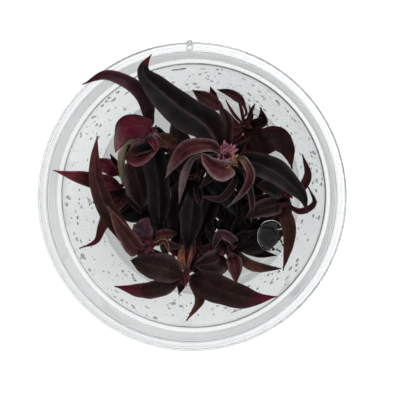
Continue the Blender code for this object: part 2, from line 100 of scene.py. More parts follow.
# A leaf: its name, the plantlet that carries it, the height in mm where it leaves the stem, its looks,
# its route from the stem to its tip in mm, its width in mm, where along it is widest, the angle that
# its halves fold up and its roll about the route in degrees, its slot, and the share of it that is a
# bare stalk
Leaf = namedtuple("Leaf", "name plantlet height looks route width widest fold roll slot stalk",
                  defaults=(0.45, 18, 0, DARK, 0))
LEAVES = (
    Leaf("long", "top", 51, Looks("dark", "black", "red", 0.12, 0.45, 0.3, 0.9),
         ((4.5, 23, 59.5), (-4, 29, 66), (-10, 34, 68.5), (-14, 38, 69), (-14.5, 41, 69.5),
          (-12, 44.5, 71)), 12.5, 0.45, 20, -12),
    Leaf("broad", "top", 49, Looks("dark", "black", "black", 0.18, 0.2, 0.3),
         ((20.5, 11, 55.5), (26.5, 8.5, 58), (32.5, 4, 57), (36.5, -0.5, 54), (38.5, -6, 50)),
         8.5, 0.4, 16),
    Leaf("north", "top", 46, Looks("maroon", "dark", "dark"),
         ((10.5, 20, 49), (11, 25.5, 50), (8.5, 31, 49)), 6),
    Leaf("arching", "top", 56, Looks("dark", "maroon", "mauve", 0.7, 0.35, 0.3),
         ((5.5, 16.7, 60.2), (-0.5, 16, 60), (-5, 12.5, 57), (-9.5, 6, 51)), 5.5, 0.45, 30, slot=MAROON),
    Leaf("cupped", "top", 56, Looks("straw", "maroon", "maroon", 0.9, 0.5, 0.2),
         ((11, 9, 59.5), (8, 9, 61), (3, 14, 61)), 8, 0.5, 40, slot=PINK),
    Leaf("curled", "top", 56, Looks("olive", "maroon", "mauve", 0.8, 0.4, 0.2),
         ((17, 11.8, 61), (19.1, 7, 60.3), (16.4, 1, 54.5), (11.5, -4, 48)), 3.1, 0.45, 35, slot=MAROON),
    Leaf("short", "top", 43, Looks("deep", "dark", "plum", 0.3, 0.1, 0.15),
         ((14, 5, 47), (9.5, -1, 46.5), (3, -0.5, 45)), 2.8, 0.6, 20, slot=MAROON),
    Leaf("low_south", "top", 33, Looks("deep", "deep", "deep", 0.1, 0.15, 0.3),
         ((7.5, 4, 37), (4, -5.5, 37.5), (0, -17, 34)), 9),
    Leaf("low_east", "top", 33, Looks("deep", "deep", "black", 0.1, 0.15, 0.3),
         ((17, 6, 37), (19.5, -5.5, 36), (20, -17, 31)), 8),
    Leaf("long", "west", 52.5, Looks("dark", "plum", "maroon", 0.2, 0.15, 0.2),
         ((-14.5, 24.5, 53), (-15, 29, 58), (-16.5, 33.5, 64), (-21, 37, 67), (-27, 38.5, 68),
          (-34.5, 35.8, 65.5)), 5.6, 0.42, 18),
    Leaf("hood", "west", 52.8, Looks("wine", "wine", "blush", 0.8, 0.1, 0.2, 0.5, "dark"),
         ((-13.5, 22.5, 58.5), (-18, 23, 61), (-23, 21, 60), (-26, 14.5, 53)), 8, 0.5, -20,
         slot=RED),
    Leaf("cupped", "west", 52, Looks("dark", "maroon", "maroon", 0.75, 0.0, 0.25, 0.6, "blush"),
         ((-15, 16, 54), (-18.5, 13.5, 55), (-23, 12.5, 54)), 9, 0.5, 30, slot=RED),
    Leaf("hanging", "west", 45, Looks("maroon", "dark", "dark", 0.5, 0.2, 0.3),
         ((-21, 11, 46), (-19, 3, 45), (-18.5, -5, 39)), 10, 0.5, 12, slot=MAROON),
    Leaf("red", "west", 35, Looks("wine", "maroon", "red", 0.2, 0.3, 0.2),
         ((-30, 4, 43), (-37, 6, 55), (-44.5, 8.5, 61.5)), 6, 0.45, 14, slot=RED),
    Leaf("tailed", "west", 30, Looks("maroon", "maroon", "wine", 0.3, 0.4, 0.2),
         ((-29, -5, 38), (-32, -11, 43), (-34, -16, 45), (-39.5, -18.3, 46)), 5, 0.36, 14,
         slot=MAROON),
    Leaf("small", "west", 39, Looks("wine", "wine", "maroon", 0.3, 0.2, 0.15),
         ((-29.5, 9, 42.5), (-34, 12.5, 43)), 5, 0.6, 10, slot=RED),
    Leaf("long", "south_west", 39, Looks("brown", "dark", "maroon", 0.5, 0.35, 0.25, 0.5, "brown"),
         ((-20, -17.5, 44.3), (-24.5, -11.5, 49.5), (-29, -3.5, 54), (-31.5, 5.5, 57), (-32, 12.5, 57.5),
          (-31.3, 20, 57)), 6.5, 0.5, 14),
    Leaf("maroon", "south_west", 48, Looks("umber", "umber", "brown", 0.4, 0.25, 0.25, 0.6, "blush"),
         ((-19, -17.5, 52), (-23.5, -10.5, 56), (-27.5, -3, 60)), 6.6, 0.38, 22, slot=MAROON),
    Leaf("round", "south_west", 49, Looks("red", "plum", "plum", 0.3, 0.2, 0.15),
         ((-16, -13.5, 54), (-16, -10, 57.5), (-14.3, -7, 57.5)), 6.5, 0.6, -18, slot=RED),
    Leaf("curl", "south_west", 49, Looks("plum", "maroon", "maroon", 0.95, 0.1, 0.15, 0.6, "olive"),
         ((-12, -16, 53), (-9.5, -15, 54), (-8, -19, 52)), 2, 0.5, 35, slot=MAROON),
    Leaf("upright", "south_west", 39, Looks("black", "deep", "deep", 0.1, 0.15, 0.3),
         ((-12, -7, 46), (-12, 4, 49), (-13.5, 14, 49.5), (-13, 24, 48)), 9, 0.55),
    Leaf("long", "south", 42, Looks("dark", "dark", "wine", 0.12, 0.1, 0.25, 0.68),
         ((4, -30, 48), (12.5, -32.5, 53), (20.5, -34, 54.5), (28, -33.5, 54)), 10, 0.42, 12),
    Leaf("blunt", "south", 42, Looks("dark", "dark", "dark", 0.2, 0.12, 0.3),
         ((-10, -25, 47), (-16.5, -23.2, 48), (-22, -22.5, 45)), 10, 0.48, 12),
    Leaf("pointed", "south", 38.5, Looks("dark", "dark", "wine", 0.2, 0.1, 0.2, 0.5),
         ((-11, -32, 43), (-18.5, -33, 44.5), (-27.5, -31.5, 45)), 6.5, 0.42, 14, slot=MAROON),
    Leaf("tip", "south", 39, Looks("umber", "brown", "red", 0.2, 0.2, 0.15),
         ((2, -36.5, 43.5), (-2.5, -42.5, 49)), 4.2, 0.4, 18, slot=RED),
    Leaf("inner", "south", 27, Looks("deep", "deep", "deep", 0.15, 0.2),
         ((1, -20, 30), (3.5, -14, 30.5), (3, -6, 29)), 8),
    Leaf("arched", "south_east", 36.5, Looks("dark", "plum", "dark", 0.5, 0.2, 0.25),
         ((13.5, -16, 43), (9, -13.5, 45), (6, -20, 41)), 3.5, 0.5, 20, slot=MAROON),
    Leaf("inner", "south_east", 26, Looks("deep", "deep", "deep", 0.15, 0.2),
         ((12, -10, 32), (13.5, -4, 33.5), (13, 3, 32)), 9),
    Leaf("broad", "south_east", 34, Looks("dark", "dark", "dark", 0.5, 0.3, 0.35),
         ((8, -23.5, 38), (5, -24.5, 39), (-0.5, -25, 38)), 9.5, 0.5, 16, slot=MAROON),
    Leaf("pale", "south_east", 35.5, Looks("dark", "maroon", "maroon", 0.6, 0.5, 0.25),
         ((14, -25, 38.5), (14.5, -31.5, 40)), 6, 0.45, 24, slot=MAROON),
    Leaf("brown", "south_east", 32.5, Looks("umber", "brown", "plum", 0.6, 0.2, 0.25),
         ((19, -25, 35), (24.5, -26.3, 36), (30.5, -26.5, 37)), 4, 0.5, 18, slot=BROWN),
    Leaf("dark", "south_east", 30, Looks("dark", "black", "dark", 0.2, 0.2, 0.15),
         ((19, -20, 33), (24.5, -21.5, 34), (29, -22, 35)), 4, 0.5, 18),
    Leaf("low", "south_east", 32, Looks("dark", "black", "dark", 0.2, 0.2, 0.2),
         ((18, -17, 36), (25, -16, 38), (32, -12.5, 39)), 9, 0.45, 6),
    Leaf("hanging", "east", 34, Looks("umber", "umber", "maroon", 0.12, 0.15, 0.45),
         ((31, -6.5, 42), (33, -12, 43.5), (32.4, -18.5, 43.5), (30.8, -26.5, 42)), 5, 0.45, 14,
         slot=BROWN),
    Leaf("crescent", "east", 41.5, Looks("maroon", "maroon", "dark", 0.2, 0.3, 0.15),
         ((37, 2.5, 46), (38.5, 7.5, 51), (36.5, 14, 52)), 3, 0.5, 18, slot=MAROON),
    Leaf("loop", "east", 40.5, Looks("maroon", "maroon", "dark", 0.3, 0.3, 0.1),
         ((36.5, -5.5, 46), (41, -2.5, 49.5), (38.5, 3, 52)), 2.4, 0.5, 24, slot=MAROON),
    Leaf("inner", "east", 39, Looks("dark", "dark", "dark", 0.5, 0.3, 0.2),
         ((28, -3.5, 44), (23, -5, 45), (17.5, -8, 43)), 7, 0.45, 14, slot=MAROON),
    Leaf("dark", "east", 42, Looks("maroon", "black", "dark", 0.3, 0.2, 0.2),
         ((29, 3, 47), (21.5, 3.5, 46)), 8.5),
    Leaf("high", "north_east", 39.5, Looks("maroon", "maroon", "dark", 0.15, 0.25, 0.2),
         ((18, 28.5, 45), (16, 32.5, 47), (12, 35, 48), (8, 36, 48)), 3.2, 0.5, 18, slot=RED,
         stalk=0.45),
    Leaf("left", "north_east", 38.5, Looks("wine", "maroon", "dark", 0.2, 0.3, 0.2),
         ((11, 29, 43), (5, 32.5, 46), (-0.5, 36, 47)), 5.2, 0.5, 18, slot=MAROON,
         stalk=0.42),
    Leaf("under", "north_east", 34, Looks("umber", "maroon", "maroon", 0.2, 0.2, 0.15),
         ((11.5, 29, 37.5), (7.5, 32, 40), (5.5, 37.5, 44)), 3.0, 0.5, 18, slot=MAROON,
         stalk=0.5),
    Leaf("broad", "north_east", 39.5, Looks("umber", "dark", "maroon", 0.3, 0.0, 0.45, 0.7, "wine"),
         ((23.5, 18.5, 46), (27.5, 19.5, 47), (31.5, 17, 46), (34, 9, 43)), 9.5, 0.4, 12),
    Leaf("small", "north_east", 37, Looks("umber", "dark", "dark", 0.2, 0.1, 0.15),
         ((21, 24.5, 42), (24.5, 26, 45), (22.5, 30, 47)), 4, 0.5, 18, slot=BROWN),
    Leaf("low", "north_east", 32, Looks("wine", "maroon", "maroon", 0.3, 0.3, 0.2),
         ((17, 18.5, 36), (19, 14.5, 39), (21, 10.5, 39)), 8, slot=MAROON),
    Leaf("south", "middle", 38, Looks("deep", "black", "deep", 0.12, 0.2, 0.3),
         ((-0.5, -2, 43), (-1.5, -10, 42), (-3, -20, 38)), 8.5, 0.5),
    Leaf("south_west", "middle", 36, Looks("deep", "black", "deep", 0.12, 0.2, 0.3),
         ((-5.5, 1, 38.5), (-6.5, -9, 36.5), (-7.5, -20, 34)), 8.5, 0.45),
    Leaf("east", "middle", 36.5, Looks("deep", "deep", "deep", 0.1, 0.15, 0.3),
         ((4.5, 6.5, 41.5), (9.5, 2, 42.5), (15.5, -8.5, 40)), 8),
    Leaf("north", "middle", 38, Looks("black", "dark", "black", 0.15, 0.2, 0.3),
         ((-4, 14, 44), (-5.5, 21, 46), (-8, 27.5, 46)), 10),
    Leaf("low", "middle", 27, Looks("deep", "deep", "deep", 0.1, 0.2, 0.3),
         ((-9, -2, 31), (-18, -5.5, 33), (-28, -8, 36)), 10, 0.58),
)

# The small leaf pairs at a stem's nodes: how many pairs, from what height to what height and how long
# in mm, their tone, the seed of their places, and slot
Pairs = namedtuple("Pairs", "plantlet pairs low high length tone seed slot")
PAIRS = (
    Pairs("top", 6, 20, 46, 13, "deep", 1, DARK),
    Pairs("west", 5, 18, 35, 11, "dark", 2, DARK),
    Pairs("south_west", 5, 18, 42, 11, "dark", 3, DARK),
    Pairs("east", 4, 18, 34, 11, "dark", 4, DARK),
    Pairs("north_east", 4, 18, 33, 8, "maroon", 5, MAROON),
    Pairs("south", 4, 18, 34, 9, "maroon", 6, MAROON),
    Pairs("south_east", 4, 18, 32, 10, "deep", 7, DARK),
    Pairs("middle", 5, 18, 40, 13, "deep", 8, DARK),
)

# The pixel where the camera's axis meets the photograph, how wide a pixel is at the lip in mm, and
# how high that is
PHOTO_NADIR_X = 232
PHOTO_NADIR_Y = 169
LIP_PIXEL = 0.325
LIP_HEIGHT = 60 * MM

# The looks and slots that small leaves have
STRAP = Looks("maroon", "mauve", "mauve", 0.5, 0.2, 0.3), MAROON
STALK = Looks("umber", "umber", "maroon", 0.1, 0.1, 0.15), BROWN
TWIG = Looks("brown", "maroon", "maroon", 0.15, 0.2, 0.2), MAROON
OLIVE_TWIG = Looks("brown", "umber", "umber", 0.2, 0.2, 0.2), BROWN
RUSSET = Looks("brown", "brown", "maroon", 0.2, 0.2, 0.3), BROWN
DUSK = Looks("dark", "maroon", "dark", 0.3, 0.2, 0.3), MAROON
SHADE = Looks("deep", "deep", "deep", 0.12, 0.15, 0.3), DARK
DIM = Looks("dark", "dark", "dark", 0.7, 0.2, 0.3), MAROON
# HOLLOW's deep middle is painted shade: the dark inside of a cupped leaf
HOLLOW = Looks("maroon", "deep", "umber", 0.3, 0.0, 0.15), MAROON
BRIGHT = Looks("pink", "wine", "wine", 0.4, 0.2, 0.15), PINK
GLOW = Looks("blush", "rust", "brown", 0.45, 0.15, 0.35), BROWN

# A small leaf: the plantlet that carries it, its route as (pixel across, pixel down, height in mm),
# its width in mm, its looks and slot, and the angle its halves fold up in degrees
Small = namedtuple("Small", "plantlet seen width kind fold", defaults=(SHADE, 20))
SMALL_LEAVES = (
    Small("top", ((206, 155, 55.5), (193, 158, 54), (184, 176, 49), (179, 204, 43)), 3.0, STRAP, 45),
    Small("west", ((158, 146, 50), (163, 160, 48), (164, 178, 45), (169, 196, 42), (163, 212, 39)), 2.2,
          STRAP, 40),
    Small("west", ((160, 144, 50), (172, 152, 48), (166, 168, 45), (158, 184, 42)), 2.0, TWIG, 40),
    Small("north_east", ((240, 121, 44), (233, 113, 46), (226, 100, 48)), 1.2, TWIG, 25),
    Small("north_east", ((243, 120, 44), (242, 112, 46), (238, 98, 48)), 1.3, TWIG, 30),
    Small("north_east", ((247, 121, 43), (250, 114, 45), (255, 104, 47)), 1.5, OLIVE_TWIG, 25),
    Small("north_east", ((249, 122, 42), (252, 116, 44), (249, 106, 46)), 1.2, OLIVE_TWIG, 25),
    Small("north_east", ((253, 124, 41), (261, 118, 43), (261, 108, 45)), 2.2, SHADE, 25),
    Small("north_east", ((254, 127, 40), (263, 122, 42), (268, 126, 41)), 2.2, TWIG, 25),
    Small("north_east", ((238, 126, 42), (229, 121, 43), (219, 122, 42)), 2.6, TWIG, 25),
    Small("north_east", ((238, 131, 41), (229, 133, 41), (220, 131, 40)), 2.8, TWIG, 25),
    Small("north_east", ((240, 134, 40), (233, 140, 40), (226, 142, 38)), 2.6, TWIG, 25),
    Small("north_east", ((250, 133, 39), (258, 137, 39), (265, 145, 37)), 3.0, TWIG, 25),
    Small("north_east", ((246, 134, 39), (249, 142, 39), (247, 152, 37)), 3.0, TWIG, 25),
    Small("south", ((185, 271, 37.5), (181, 259, 40.5), (183, 244, 40.5)), 2.7, GLOW),
    Small("south", ((187, 270, 37), (190, 258, 39.5), (192, 246, 39)), 1.5, GLOW),
    Small("south", ((186, 272, 37), (183, 258, 39), (180, 243, 40)), 0.9, STALK),
    Small("south", ((188, 271, 36), (190, 257, 38), (195, 243, 39)), 0.9, STALK),
    Small("south", ((183, 273, 36), (176, 263, 37), (171, 249, 38)), 1.1, STALK),
    Small("south", ((190, 272, 35), (197, 264, 36), (204, 254, 36)), 1.1, STALK),
    Small("south", ((187, 270, 33), (187, 250, 34), (184, 234, 34)), 1.6, TWIG),
    Small("south", ((182, 274, 34), (171, 268, 34), (160, 256, 34)), 2.6, TWIG),
    Small("middle", ((188, 205, 34), (180, 226, 34), (172, 248, 31)), 6.5),
    Small("middle", ((196, 205, 33), (200, 228, 33), (199, 250, 30)), 6.5),
    Small("middle", ((184, 200, 34), (168, 216, 34), (152, 234, 31)), 6.0),
    Small("middle", ((200, 175, 38), (197, 162, 39), (190, 148, 37)), 7.0),
    Small("middle", ((184, 178, 37), (176, 168, 38), (166, 160, 36)), 6.5),
    Small("top", ((225, 178, 38), (219, 196, 36), (211, 222, 33)), 6.5),
    Small("top", ((238, 176, 38), (246, 194, 37), (248, 214, 34)), 6.5),
    Small("east", ((288, 192, 39), (270, 206, 39), (248, 214, 36)), 8.0),
    Small("east", ((286, 204, 38), (276, 216, 37), (260, 226, 35)), 6.5),
    Small("east", ((282, 196, 40), (262, 200, 41), (244, 206, 38)), 4.5, TWIG, 30),
    Small("top", ((242, 184, 40), (256, 196, 40), (262, 214, 37)), 6.5),
    Small("west", ((156, 138, 50), (166, 141, 49), (179, 147, 46)), 5.5, RUSSET, 25),
    Small("west", ((152, 128, 50), (158, 140, 48), (161, 158, 45)), 7.0),
    Small("west", ((150, 139, 50), (136, 150, 49), (128, 163, 46)), 6.0),
    Small("top", ((228, 158, 50), (218, 163, 48), (206, 172, 46)), 5.0),
    Small("south_east", ((236, 240, 32), (242, 227, 33), (246, 210, 33)), 8.5),
    Small("south_east", ((248, 238, 33), (260, 228, 34), (270, 215, 35)), 8.5),
    Small("east", ((286, 206, 38), (280, 218, 37), (268, 232, 35)), 6.0, DUSK),
    Small("east", ((289, 203, 42), (272, 206, 43), (255, 206, 42)), 1.8, DUSK, 30),
    Small("south", ((180, 268, 33), (164, 260, 34), (148, 248, 35)), 4.5, DUSK),
    Small("south", ((196, 268, 33), (207, 256, 34), (217, 240, 34)), 6.5, DUSK),
    Small("south", ((186, 266, 32), (183, 250, 33), (182, 230, 33)), 4.0, DUSK),
    Small("south", ((191, 266, 31), (195, 250, 32), (196, 230, 32)), 5.5, DUSK),
    Small("south_east", ((226, 244, 35), (212, 250, 36), (197, 248, 36)), 5.5, DUSK),
    Small("south_west", ((150, 242, 41), (162, 236, 41), (177, 233, 39)), 5.0, DUSK),
    Small("south_west", ((152, 238, 40), (156, 228, 40), (164, 218, 38)), 5.5),
    Small("north_east", ((254, 134, 38), (264, 141, 39), (275, 151, 39)), 7.5),
    Small("middle", ((190, 172, 38), (179, 176, 38), (167, 187, 36)), 6.0),
    Small("top", ((236, 170, 44), (246, 180, 43), (253, 194, 41)), 5.0),
    Small("top", ((244, 168, 44), (256, 178, 43), (266, 190, 41)), 5.0),
    Small("middle", ((200, 200, 35), (206, 216, 34), (208, 236, 33)), 6.0),
    Small("middle", ((204, 196, 36), (214, 206, 35), (226, 222, 33)), 6.0),
    Small("middle", ((186, 158, 40), (172, 146, 41), (158, 134, 39)), 8.0),
    Small("middle", ((182, 170, 39), (166, 162, 40), (152, 160, 38)), 6.5),
    Small("east", ((290, 176, 40), (284, 190, 39), (281, 206, 37)), 3.0, TWIG),
    Small("east", ((287, 172, 41), (277, 178, 41), (268, 188, 39)), 3.5, TWIG),
    Small("south_east", ((222, 244, 36), (212, 236, 37), (206, 224, 37)), 4.5),
    Small("south_east", ((234, 244, 36), (244, 236, 37), (254, 232, 36)), 4.5),
    Small("south_east", ((258, 240, 38), (270, 246, 39), (281, 252, 38)), 1.0),
    Small("south_east", ((262, 228, 40), (275, 232, 42), (283, 246, 39)), 0.9),
    Small("top", ((243, 168, 46), (249, 186, 46), (252, 204, 45), (251, 222, 42)), 2.6, DIM, 30),
    Small("west", ((150, 145, 55.4), (139, 149.5, 56.6), (128, 153.5, 55.8)), 4.6, HOLLOW, 25),
    Small("west", ((151, 139.5, 56.8), (154.5, 143.5, 57.6), (157, 151, 56.4)), 3.0, BRIGHT, 25),
    Small("south_west", ((148, 246, 45), (141, 238, 45), (134, 224, 44)), 5.0, DUSK),
    Small("south_west", ((148, 250, 44), (141, 251, 44), (133, 249, 43)), 4.2, RUSSET),
    Small("south_west", ((149, 246, 44), (150, 234, 44), (145, 221, 43)), 5.0),
    Small("south_west", ((146, 240, 48), (140, 234, 49), (136, 226, 48)), 2.4, TWIG, 25),
    Small("south_west", ((154, 244, 47), (161, 238, 47), (167, 236, 46)), 1.8, OLIVE_TWIG, 25),
)

# The young leaves round a shoot tip: how many, their length and width in mm, how far their heart
# lies from the tip and how far they spread over and across in mm, the tones they take turns in,
# and slot
Shoot = namedtuple("Shoot", "plantlet leaves length width heart spread tones slot")
SHOOTS = (
    Shoot("top", 54, 1.9, 1.25, (-0.6, 1.2, 0), (3.8, 1.9), ("rose", "blush", "mauve", "rose", "pink"), PINK),
    Shoot("top", 26, 1.6, 1.25, (1.3, -1.9, 0.5), (1.5, 1.7), ("straw", "olive", "straw", "blush"), PINK),
    Shoot("top", 16, 1.7, 1.1, (-1.1, -3.0, 3.4), (1.2, 1.5), ("blush", "rust", "rose"), PINK),
    Shoot("west", 7, 3.4, 1.6, (0, 0, 0), (0.8, 0.8), ("wine", "pink", "maroon"), PINK),
    Shoot("south_west", 7, 3.2, 1.5, (0, 0, 0), (0.8, 0.8), ("plum", "maroon", "wine"), PINK),
    Shoot("east", 4, 3.2, 1.4, (0, 0, 0), (0.5, 0.5), ("brown", "maroon"), MAROON),
    Shoot("north_east", 6, 3.4, 1.3, (0, 0, 0), (1.0, 1.0), ("brown", "maroon"), MAROON),
    Shoot("south", 4, 3.2, 1.4, (0, 0, 0), (0.5, 0.5), ("brown", "maroon"), MAROON),
    Shoot("south_east", 6, 3.4, 1.5, (0, 0, 0), (0.9, 0.9), ("brown", "plum"), MAROON),
    Shoot("middle", 5, 4.2, 1.8, (0, 0, 0), (0.8, 0.8), ("black", "deep"), DARK),
)
GOLDEN_ANGLE = math.radians(137.5)

# Large beads of condensation seen on the wall: angle in degrees, height, width round the wall and
# height of the bead, all in mm
Bead = namedtuple("Bead", "angle height width tall")
BEADS = (
    Bead(97, 45, 5.6, 1.6), Bead(86, 44.5, 2.4, 0.7), Bead(67, 44, 1.6, 1.0), Bead(62, 42, 1.4, 1.0),
    Bead(58, 39, 1.5, 1.1), Bead(55, 35, 2.6, 0.9), Bead(130, 43, 1.6, 1.5), Bead(124, 40, 2.2, 1.2),
    Bead(136, 38, 1.5, 1.1), Bead(178, 33, 1.0, 1.6), Bead(222, 34, 1.4, 1.0), Bead(231, 42, 2.0, 0.8),
    Bead(226, 30, 1.2, 0.9), Bead(290, 41, 5.0, 0.9), Bead(297, 38, 3.2, 0.7), Bead(247, 40, 2.2, 0.9),
    Bead(205, 40, 1.1, 1.4), Bead(20, 41, 1.0, 1.6), Bead(338, 39, 1.3, 1.2), Bead(318, 42, 2.4, 0.8),
)


# Settings

def length(label, words, default):
    return FloatProperty(name=label, description=words, default=default, unit="LENGTH")


def amount(label, words, default):
    return FloatProperty(name=label, description=words, default=default, min=0)


def tone(label, words, colour):
    return FloatVectorProperty(name=label, description=words, subtype="COLOR", default=colour, min=0, max=1)


class CupSettings(bpy.types.PropertyGroup):
    """Sizes and finish of the clear cup."""

    flange_radius: length("Flange Radius", "Outer radius of the flange", CUP_HIGH.x)
    height: length("Height", "Height of the lip above the base", CUP_HIGH.z)
    base_radius: length("Base Radius", "Radius of the base", 0.0382)
    ledge_height: length("Ledge Height", "Height of the ledge inside the wall", 0.0498)
    ledge_inner: length("Ledge Inner Radius", "Radius where the lower wall ends", 0.0445)
    ledge_outer: length("Ledge Outer Radius", "Radius where the upper wall starts", 0.046)
    lip_radius: length("Lip Radius", "Inner radius of the lip", 0.0466)
    wall: length("Wall", "Thickness of the wall", 0.00045)
    sides: IntProperty(name="Sides", description="Steps round the cup", default=144, min=24)
    tint: tone("Tint", "Colour of the clear plastic", (0.95, 0.965, 0.96))
    frost: FloatProperty(name="Frost", description="Milkiness of the upper wall", default=0.34,
                         min=0, max=0.9)
    density: amount("Density", "How fast the plastic darkens light", 320)


class GelSettings(bpy.types.PropertyGroup):
    """Form and finish of the growing gel and its drop."""

    climb: length("Climb", "How far the gel climbs at the wall", 0.0003)
    drop_spread: FloatVectorProperty(name="Drop Spread", default=(1.5, 1.15, 0.72), min=0.1,
                                     description="Size of the drop as a share of its core's")
    drop_shift: FloatVectorProperty(name="Drop Shift", description="How far the drop has slid off its core",
                                    subtype="TRANSLATION", unit="LENGTH", default=(0, 0.0004, -0.0004))
    tint: tone("Tint", "Colour of the gel", (0.97, 0.985, 0.965))


class PlantSettings(bpy.types.PropertyGroup):
    """Tones and surface of the leaves and stems."""

    deep: tone("Deep", "Leaves in the shade of the others", (0.0032, 0.0024, 0.0023))
    black: tone("Black", "Darkest leaf tops", (0.0068, 0.0056, 0.0058))
    dark: tone("Dark", "Dark leaves", (0.0185, 0.0076, 0.0070))
    maroon: tone("Maroon", "Maroon leaves", (0.0570, 0.0110, 0.0135))
    wine: tone("Wine", "Glossy wine red leaves", (0.0800, 0.0045, 0.0150))
    red: tone("Red", "Thin tips that light shines through", (0.1050, 0.0130, 0.0140))
    plum: tone("Plum", "Purple leaves", (0.0380, 0.0125, 0.0215))
    # Mauve on the edges is partly the leaf's own margin and partly painted highlight where they catch the
    # light
    mauve: tone("Mauve", "Pale edges and undersides", (0.1900, 0.1250, 0.1250))
    pink: tone("Pink", "Young leaf bases", (0.420, 0.090, 0.190))
    rose: tone("Rose", "Youngest leaves", (0.4200, 0.1650, 0.2050))
    brown: tone("Brown", "Brown leaves and stems", (0.0750, 0.0300, 0.0180))
    umber: tone("Umber", "Dark brown leaves", (0.0370, 0.0120, 0.0084))
    rust: tone("Rust", "Rust brown young leaves", (0.2200, 0.0750, 0.0400))
    blush: tone("Blush", "Pinkish rims", (0.2400, 0.0950, 0.1100))
    olive: tone("Olive", "Olive leaf bases", (0.170, 0.130, 0.060))
    straw: tone("Straw", "Heart of the highest shoot", (0.3400, 0.2200, 0.0750))
    tan: tone("Tan", "Pale stem", (0.400, 0.320, 0.190))
    thickness: length("Thickness", "Thickness of a blade", 0.00034)
    rib_depth: length("Rib Depth", "Depth of the groove over the midrib", 0.00016)
    vein_depth: length("Vein Depth", "Depth of the side veins", 0.00005)


class DewSettings(bpy.types.PropertyGroup):
    """Condensation on the inside of the lower wall."""

    beads: IntProperty(name="Beads", description="How many beads, large and fine", default=580, min=0)
    smallest: length("Smallest", "Width of the smallest bead", 0.00030)
    largest: length("Largest", "Width of the largest fine bead", 0.0016)
    # The grey of the beads is painted shade for the darker look of water beads
    tint: tone("Tint", "Colour of the beads", (0.70, 0.74, 0.75))


class StageSettings(bpy.types.PropertyGroup):
    """Camera, floor and light."""

    lens: FloatProperty(name="Lens", description="Focal length in mm", default=66.5)
    camera_x: length("Camera X", "Camera's place to the right", 0.013)
    camera_y: length("Camera Y", "Camera's place to the back", 0.009)
    camera_height: length("Camera Height", "Camera's height over the floor", 0.300)
    floor_tone: tone("Floor", "Colour of the floor", (0.90, 0.90, 0.90))
    glow: amount("Glow", "Light from under the floor", 0.5)
    light: amount("Light", "Strength of the soft light", 0.47)


# Tools for meshes

def deselect_all():
    bpy.ops.object.select_all(action="DESELECT")


def take(item):
    """Makes one object the only selected and the active one."""
    deselect_all()
    item.select_set(True)
    bpy.context.view_layer.objects.active = item


def named(item, name):
    item.name = name
    item.data.name = name
    return item


def put_place_in_mesh(item):
    take(item)
    bpy.ops.object.transform_apply(location=True, rotation=True, scale=True)


def add_finished(item, kind, **values):
    """Adds a modifier with these values and applies it."""
    modifier = item.modifiers.new(kind.title(), kind)
    for name, value in values.items():
        setattr(modifier, name, value)
    take(item)
    bpy.ops.object.modifier_apply(modifier=modifier.name)


def smooth(item, degrees):
    take(item)
    bpy.ops.object.shade_smooth_by_angle(angle=math.radians(degrees))


def dress(item, material, slot, *nodes):
    """Gives a finished piece its material and its place in the frame."""
    item.data.materials.clear()
    item.data.materials.append(material)
    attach(item, BODY)
    if nodes:
        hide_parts(*nodes)


def rounded(profile, radius, steps=3):
    """The profile with each inner corner rounded off over at most this length on either side."""
    points = [Vector(point) for point in profile]
    result = [points[0]]
    for before, corner, after in zip(points, points[1:], points[2:]):
        start = corner + (before - corner).normalized() * min(radius, (before - corner).length / 2.2)
        end = corner + (after - corner).normalized() * min(radius, (after - corner).length / 2.2)
        for step in range(steps + 1):
            share = step / steps
            result.append(start.lerp(corner, share).lerp(corner.lerp(end, share), share))
    result.append(points[-1])
    return result


def add_turned(name, profile, sides):
    """A solid turned about Z: a disc is extruded and resized from point to point of its profile."""
    (radius, height), *rest = profile
    deselect_all()
    bpy.ops.mesh.primitive_circle_add(vertices=sides, radius=radius, location=(0, 0, height),
                                      fill_type="NGON")
    item = named(bpy.context.object, name)
    put_place_in_mesh(item)
    bpy.ops.object.mode_set(mode="EDIT")
    bpy.ops.mesh.select_all(action="SELECT")
    for next_radius, next_height in rest:
        rise = (0, 0, next_height - height)
        bpy.ops.mesh.extrude_region_move(TRANSFORM_OT_translate={"value": rise})
        share = next_radius / radius
        bpy.ops.transform.resize(value=(share, share, 1), center_override=(0, 0, next_height))
        radius, height = next_radius, next_height
    bpy.ops.mesh.select_all(action="SELECT")
    bpy.ops.mesh.normals_make_consistent(inside=False)
    bpy.ops.object.mode_set(mode="OBJECT")
    return item


def combine(item, tool, operation):
    """Joins a tool to the piece or cuts it out, and removes the tool."""
    put_place_in_mesh(tool)
    add_finished(item, "BOOLEAN", object=tool, operation=operation, solver="EXACT")
    bpy.data.objects.remove(tool, do_unlink=True)


def join(items, name):
    deselect_all()
    for item in items:
        item.select_set(True)
    bpy.context.view_layer.objects.active = items[0]
    if len(items) > 1:
        bpy.ops.object.join()
    return named(bpy.context.view_layer.objects.active, name)


# Tools for materials

def new_finish(name):
    """A new material, its node tree and its Principled shader."""
    material = bpy.data.materials.new(name)
    material.use_nodes = True
    return material, material.node_tree, material.node_tree.nodes["Principled BSDF"]


def feed(tree, item, inputs):
    """Sets or links the inputs of a shader node."""
    for key, value in inputs.items():
        if isinstance(value, bpy.types.NodeSocket):
            tree.links.new(value, item.inputs[key])
        else:
            item.inputs[key].default_value = value


def node(tree, kind, inputs=(), **settings):
    """Adds a shader node, with its settings, and feeds it."""
    new = tree.nodes.new(kind)
    for name, value in settings.items():
        setattr(new, name, value)
    feed(tree, new, dict(inputs))
    return new


def maths(tree, operation, *values):
    return node(tree, "ShaderNodeMath", enumerate(values), operation=operation).outputs[0]


def measured(tree, operation, *vectors):
    """The number that a vector operation gives."""
    return node(tree, "ShaderNodeVectorMath", enumerate(vectors), operation=operation).outputs["Value"]


def ranged(tree, value, low, high, to_low=0.0, to_high=1.0):
    inputs = {"Value": value, "From Min": low, "From Max": high, "To Min": to_low, "To Max": to_high}
    return node(tree, "ShaderNodeMapRange", inputs).outputs[0]


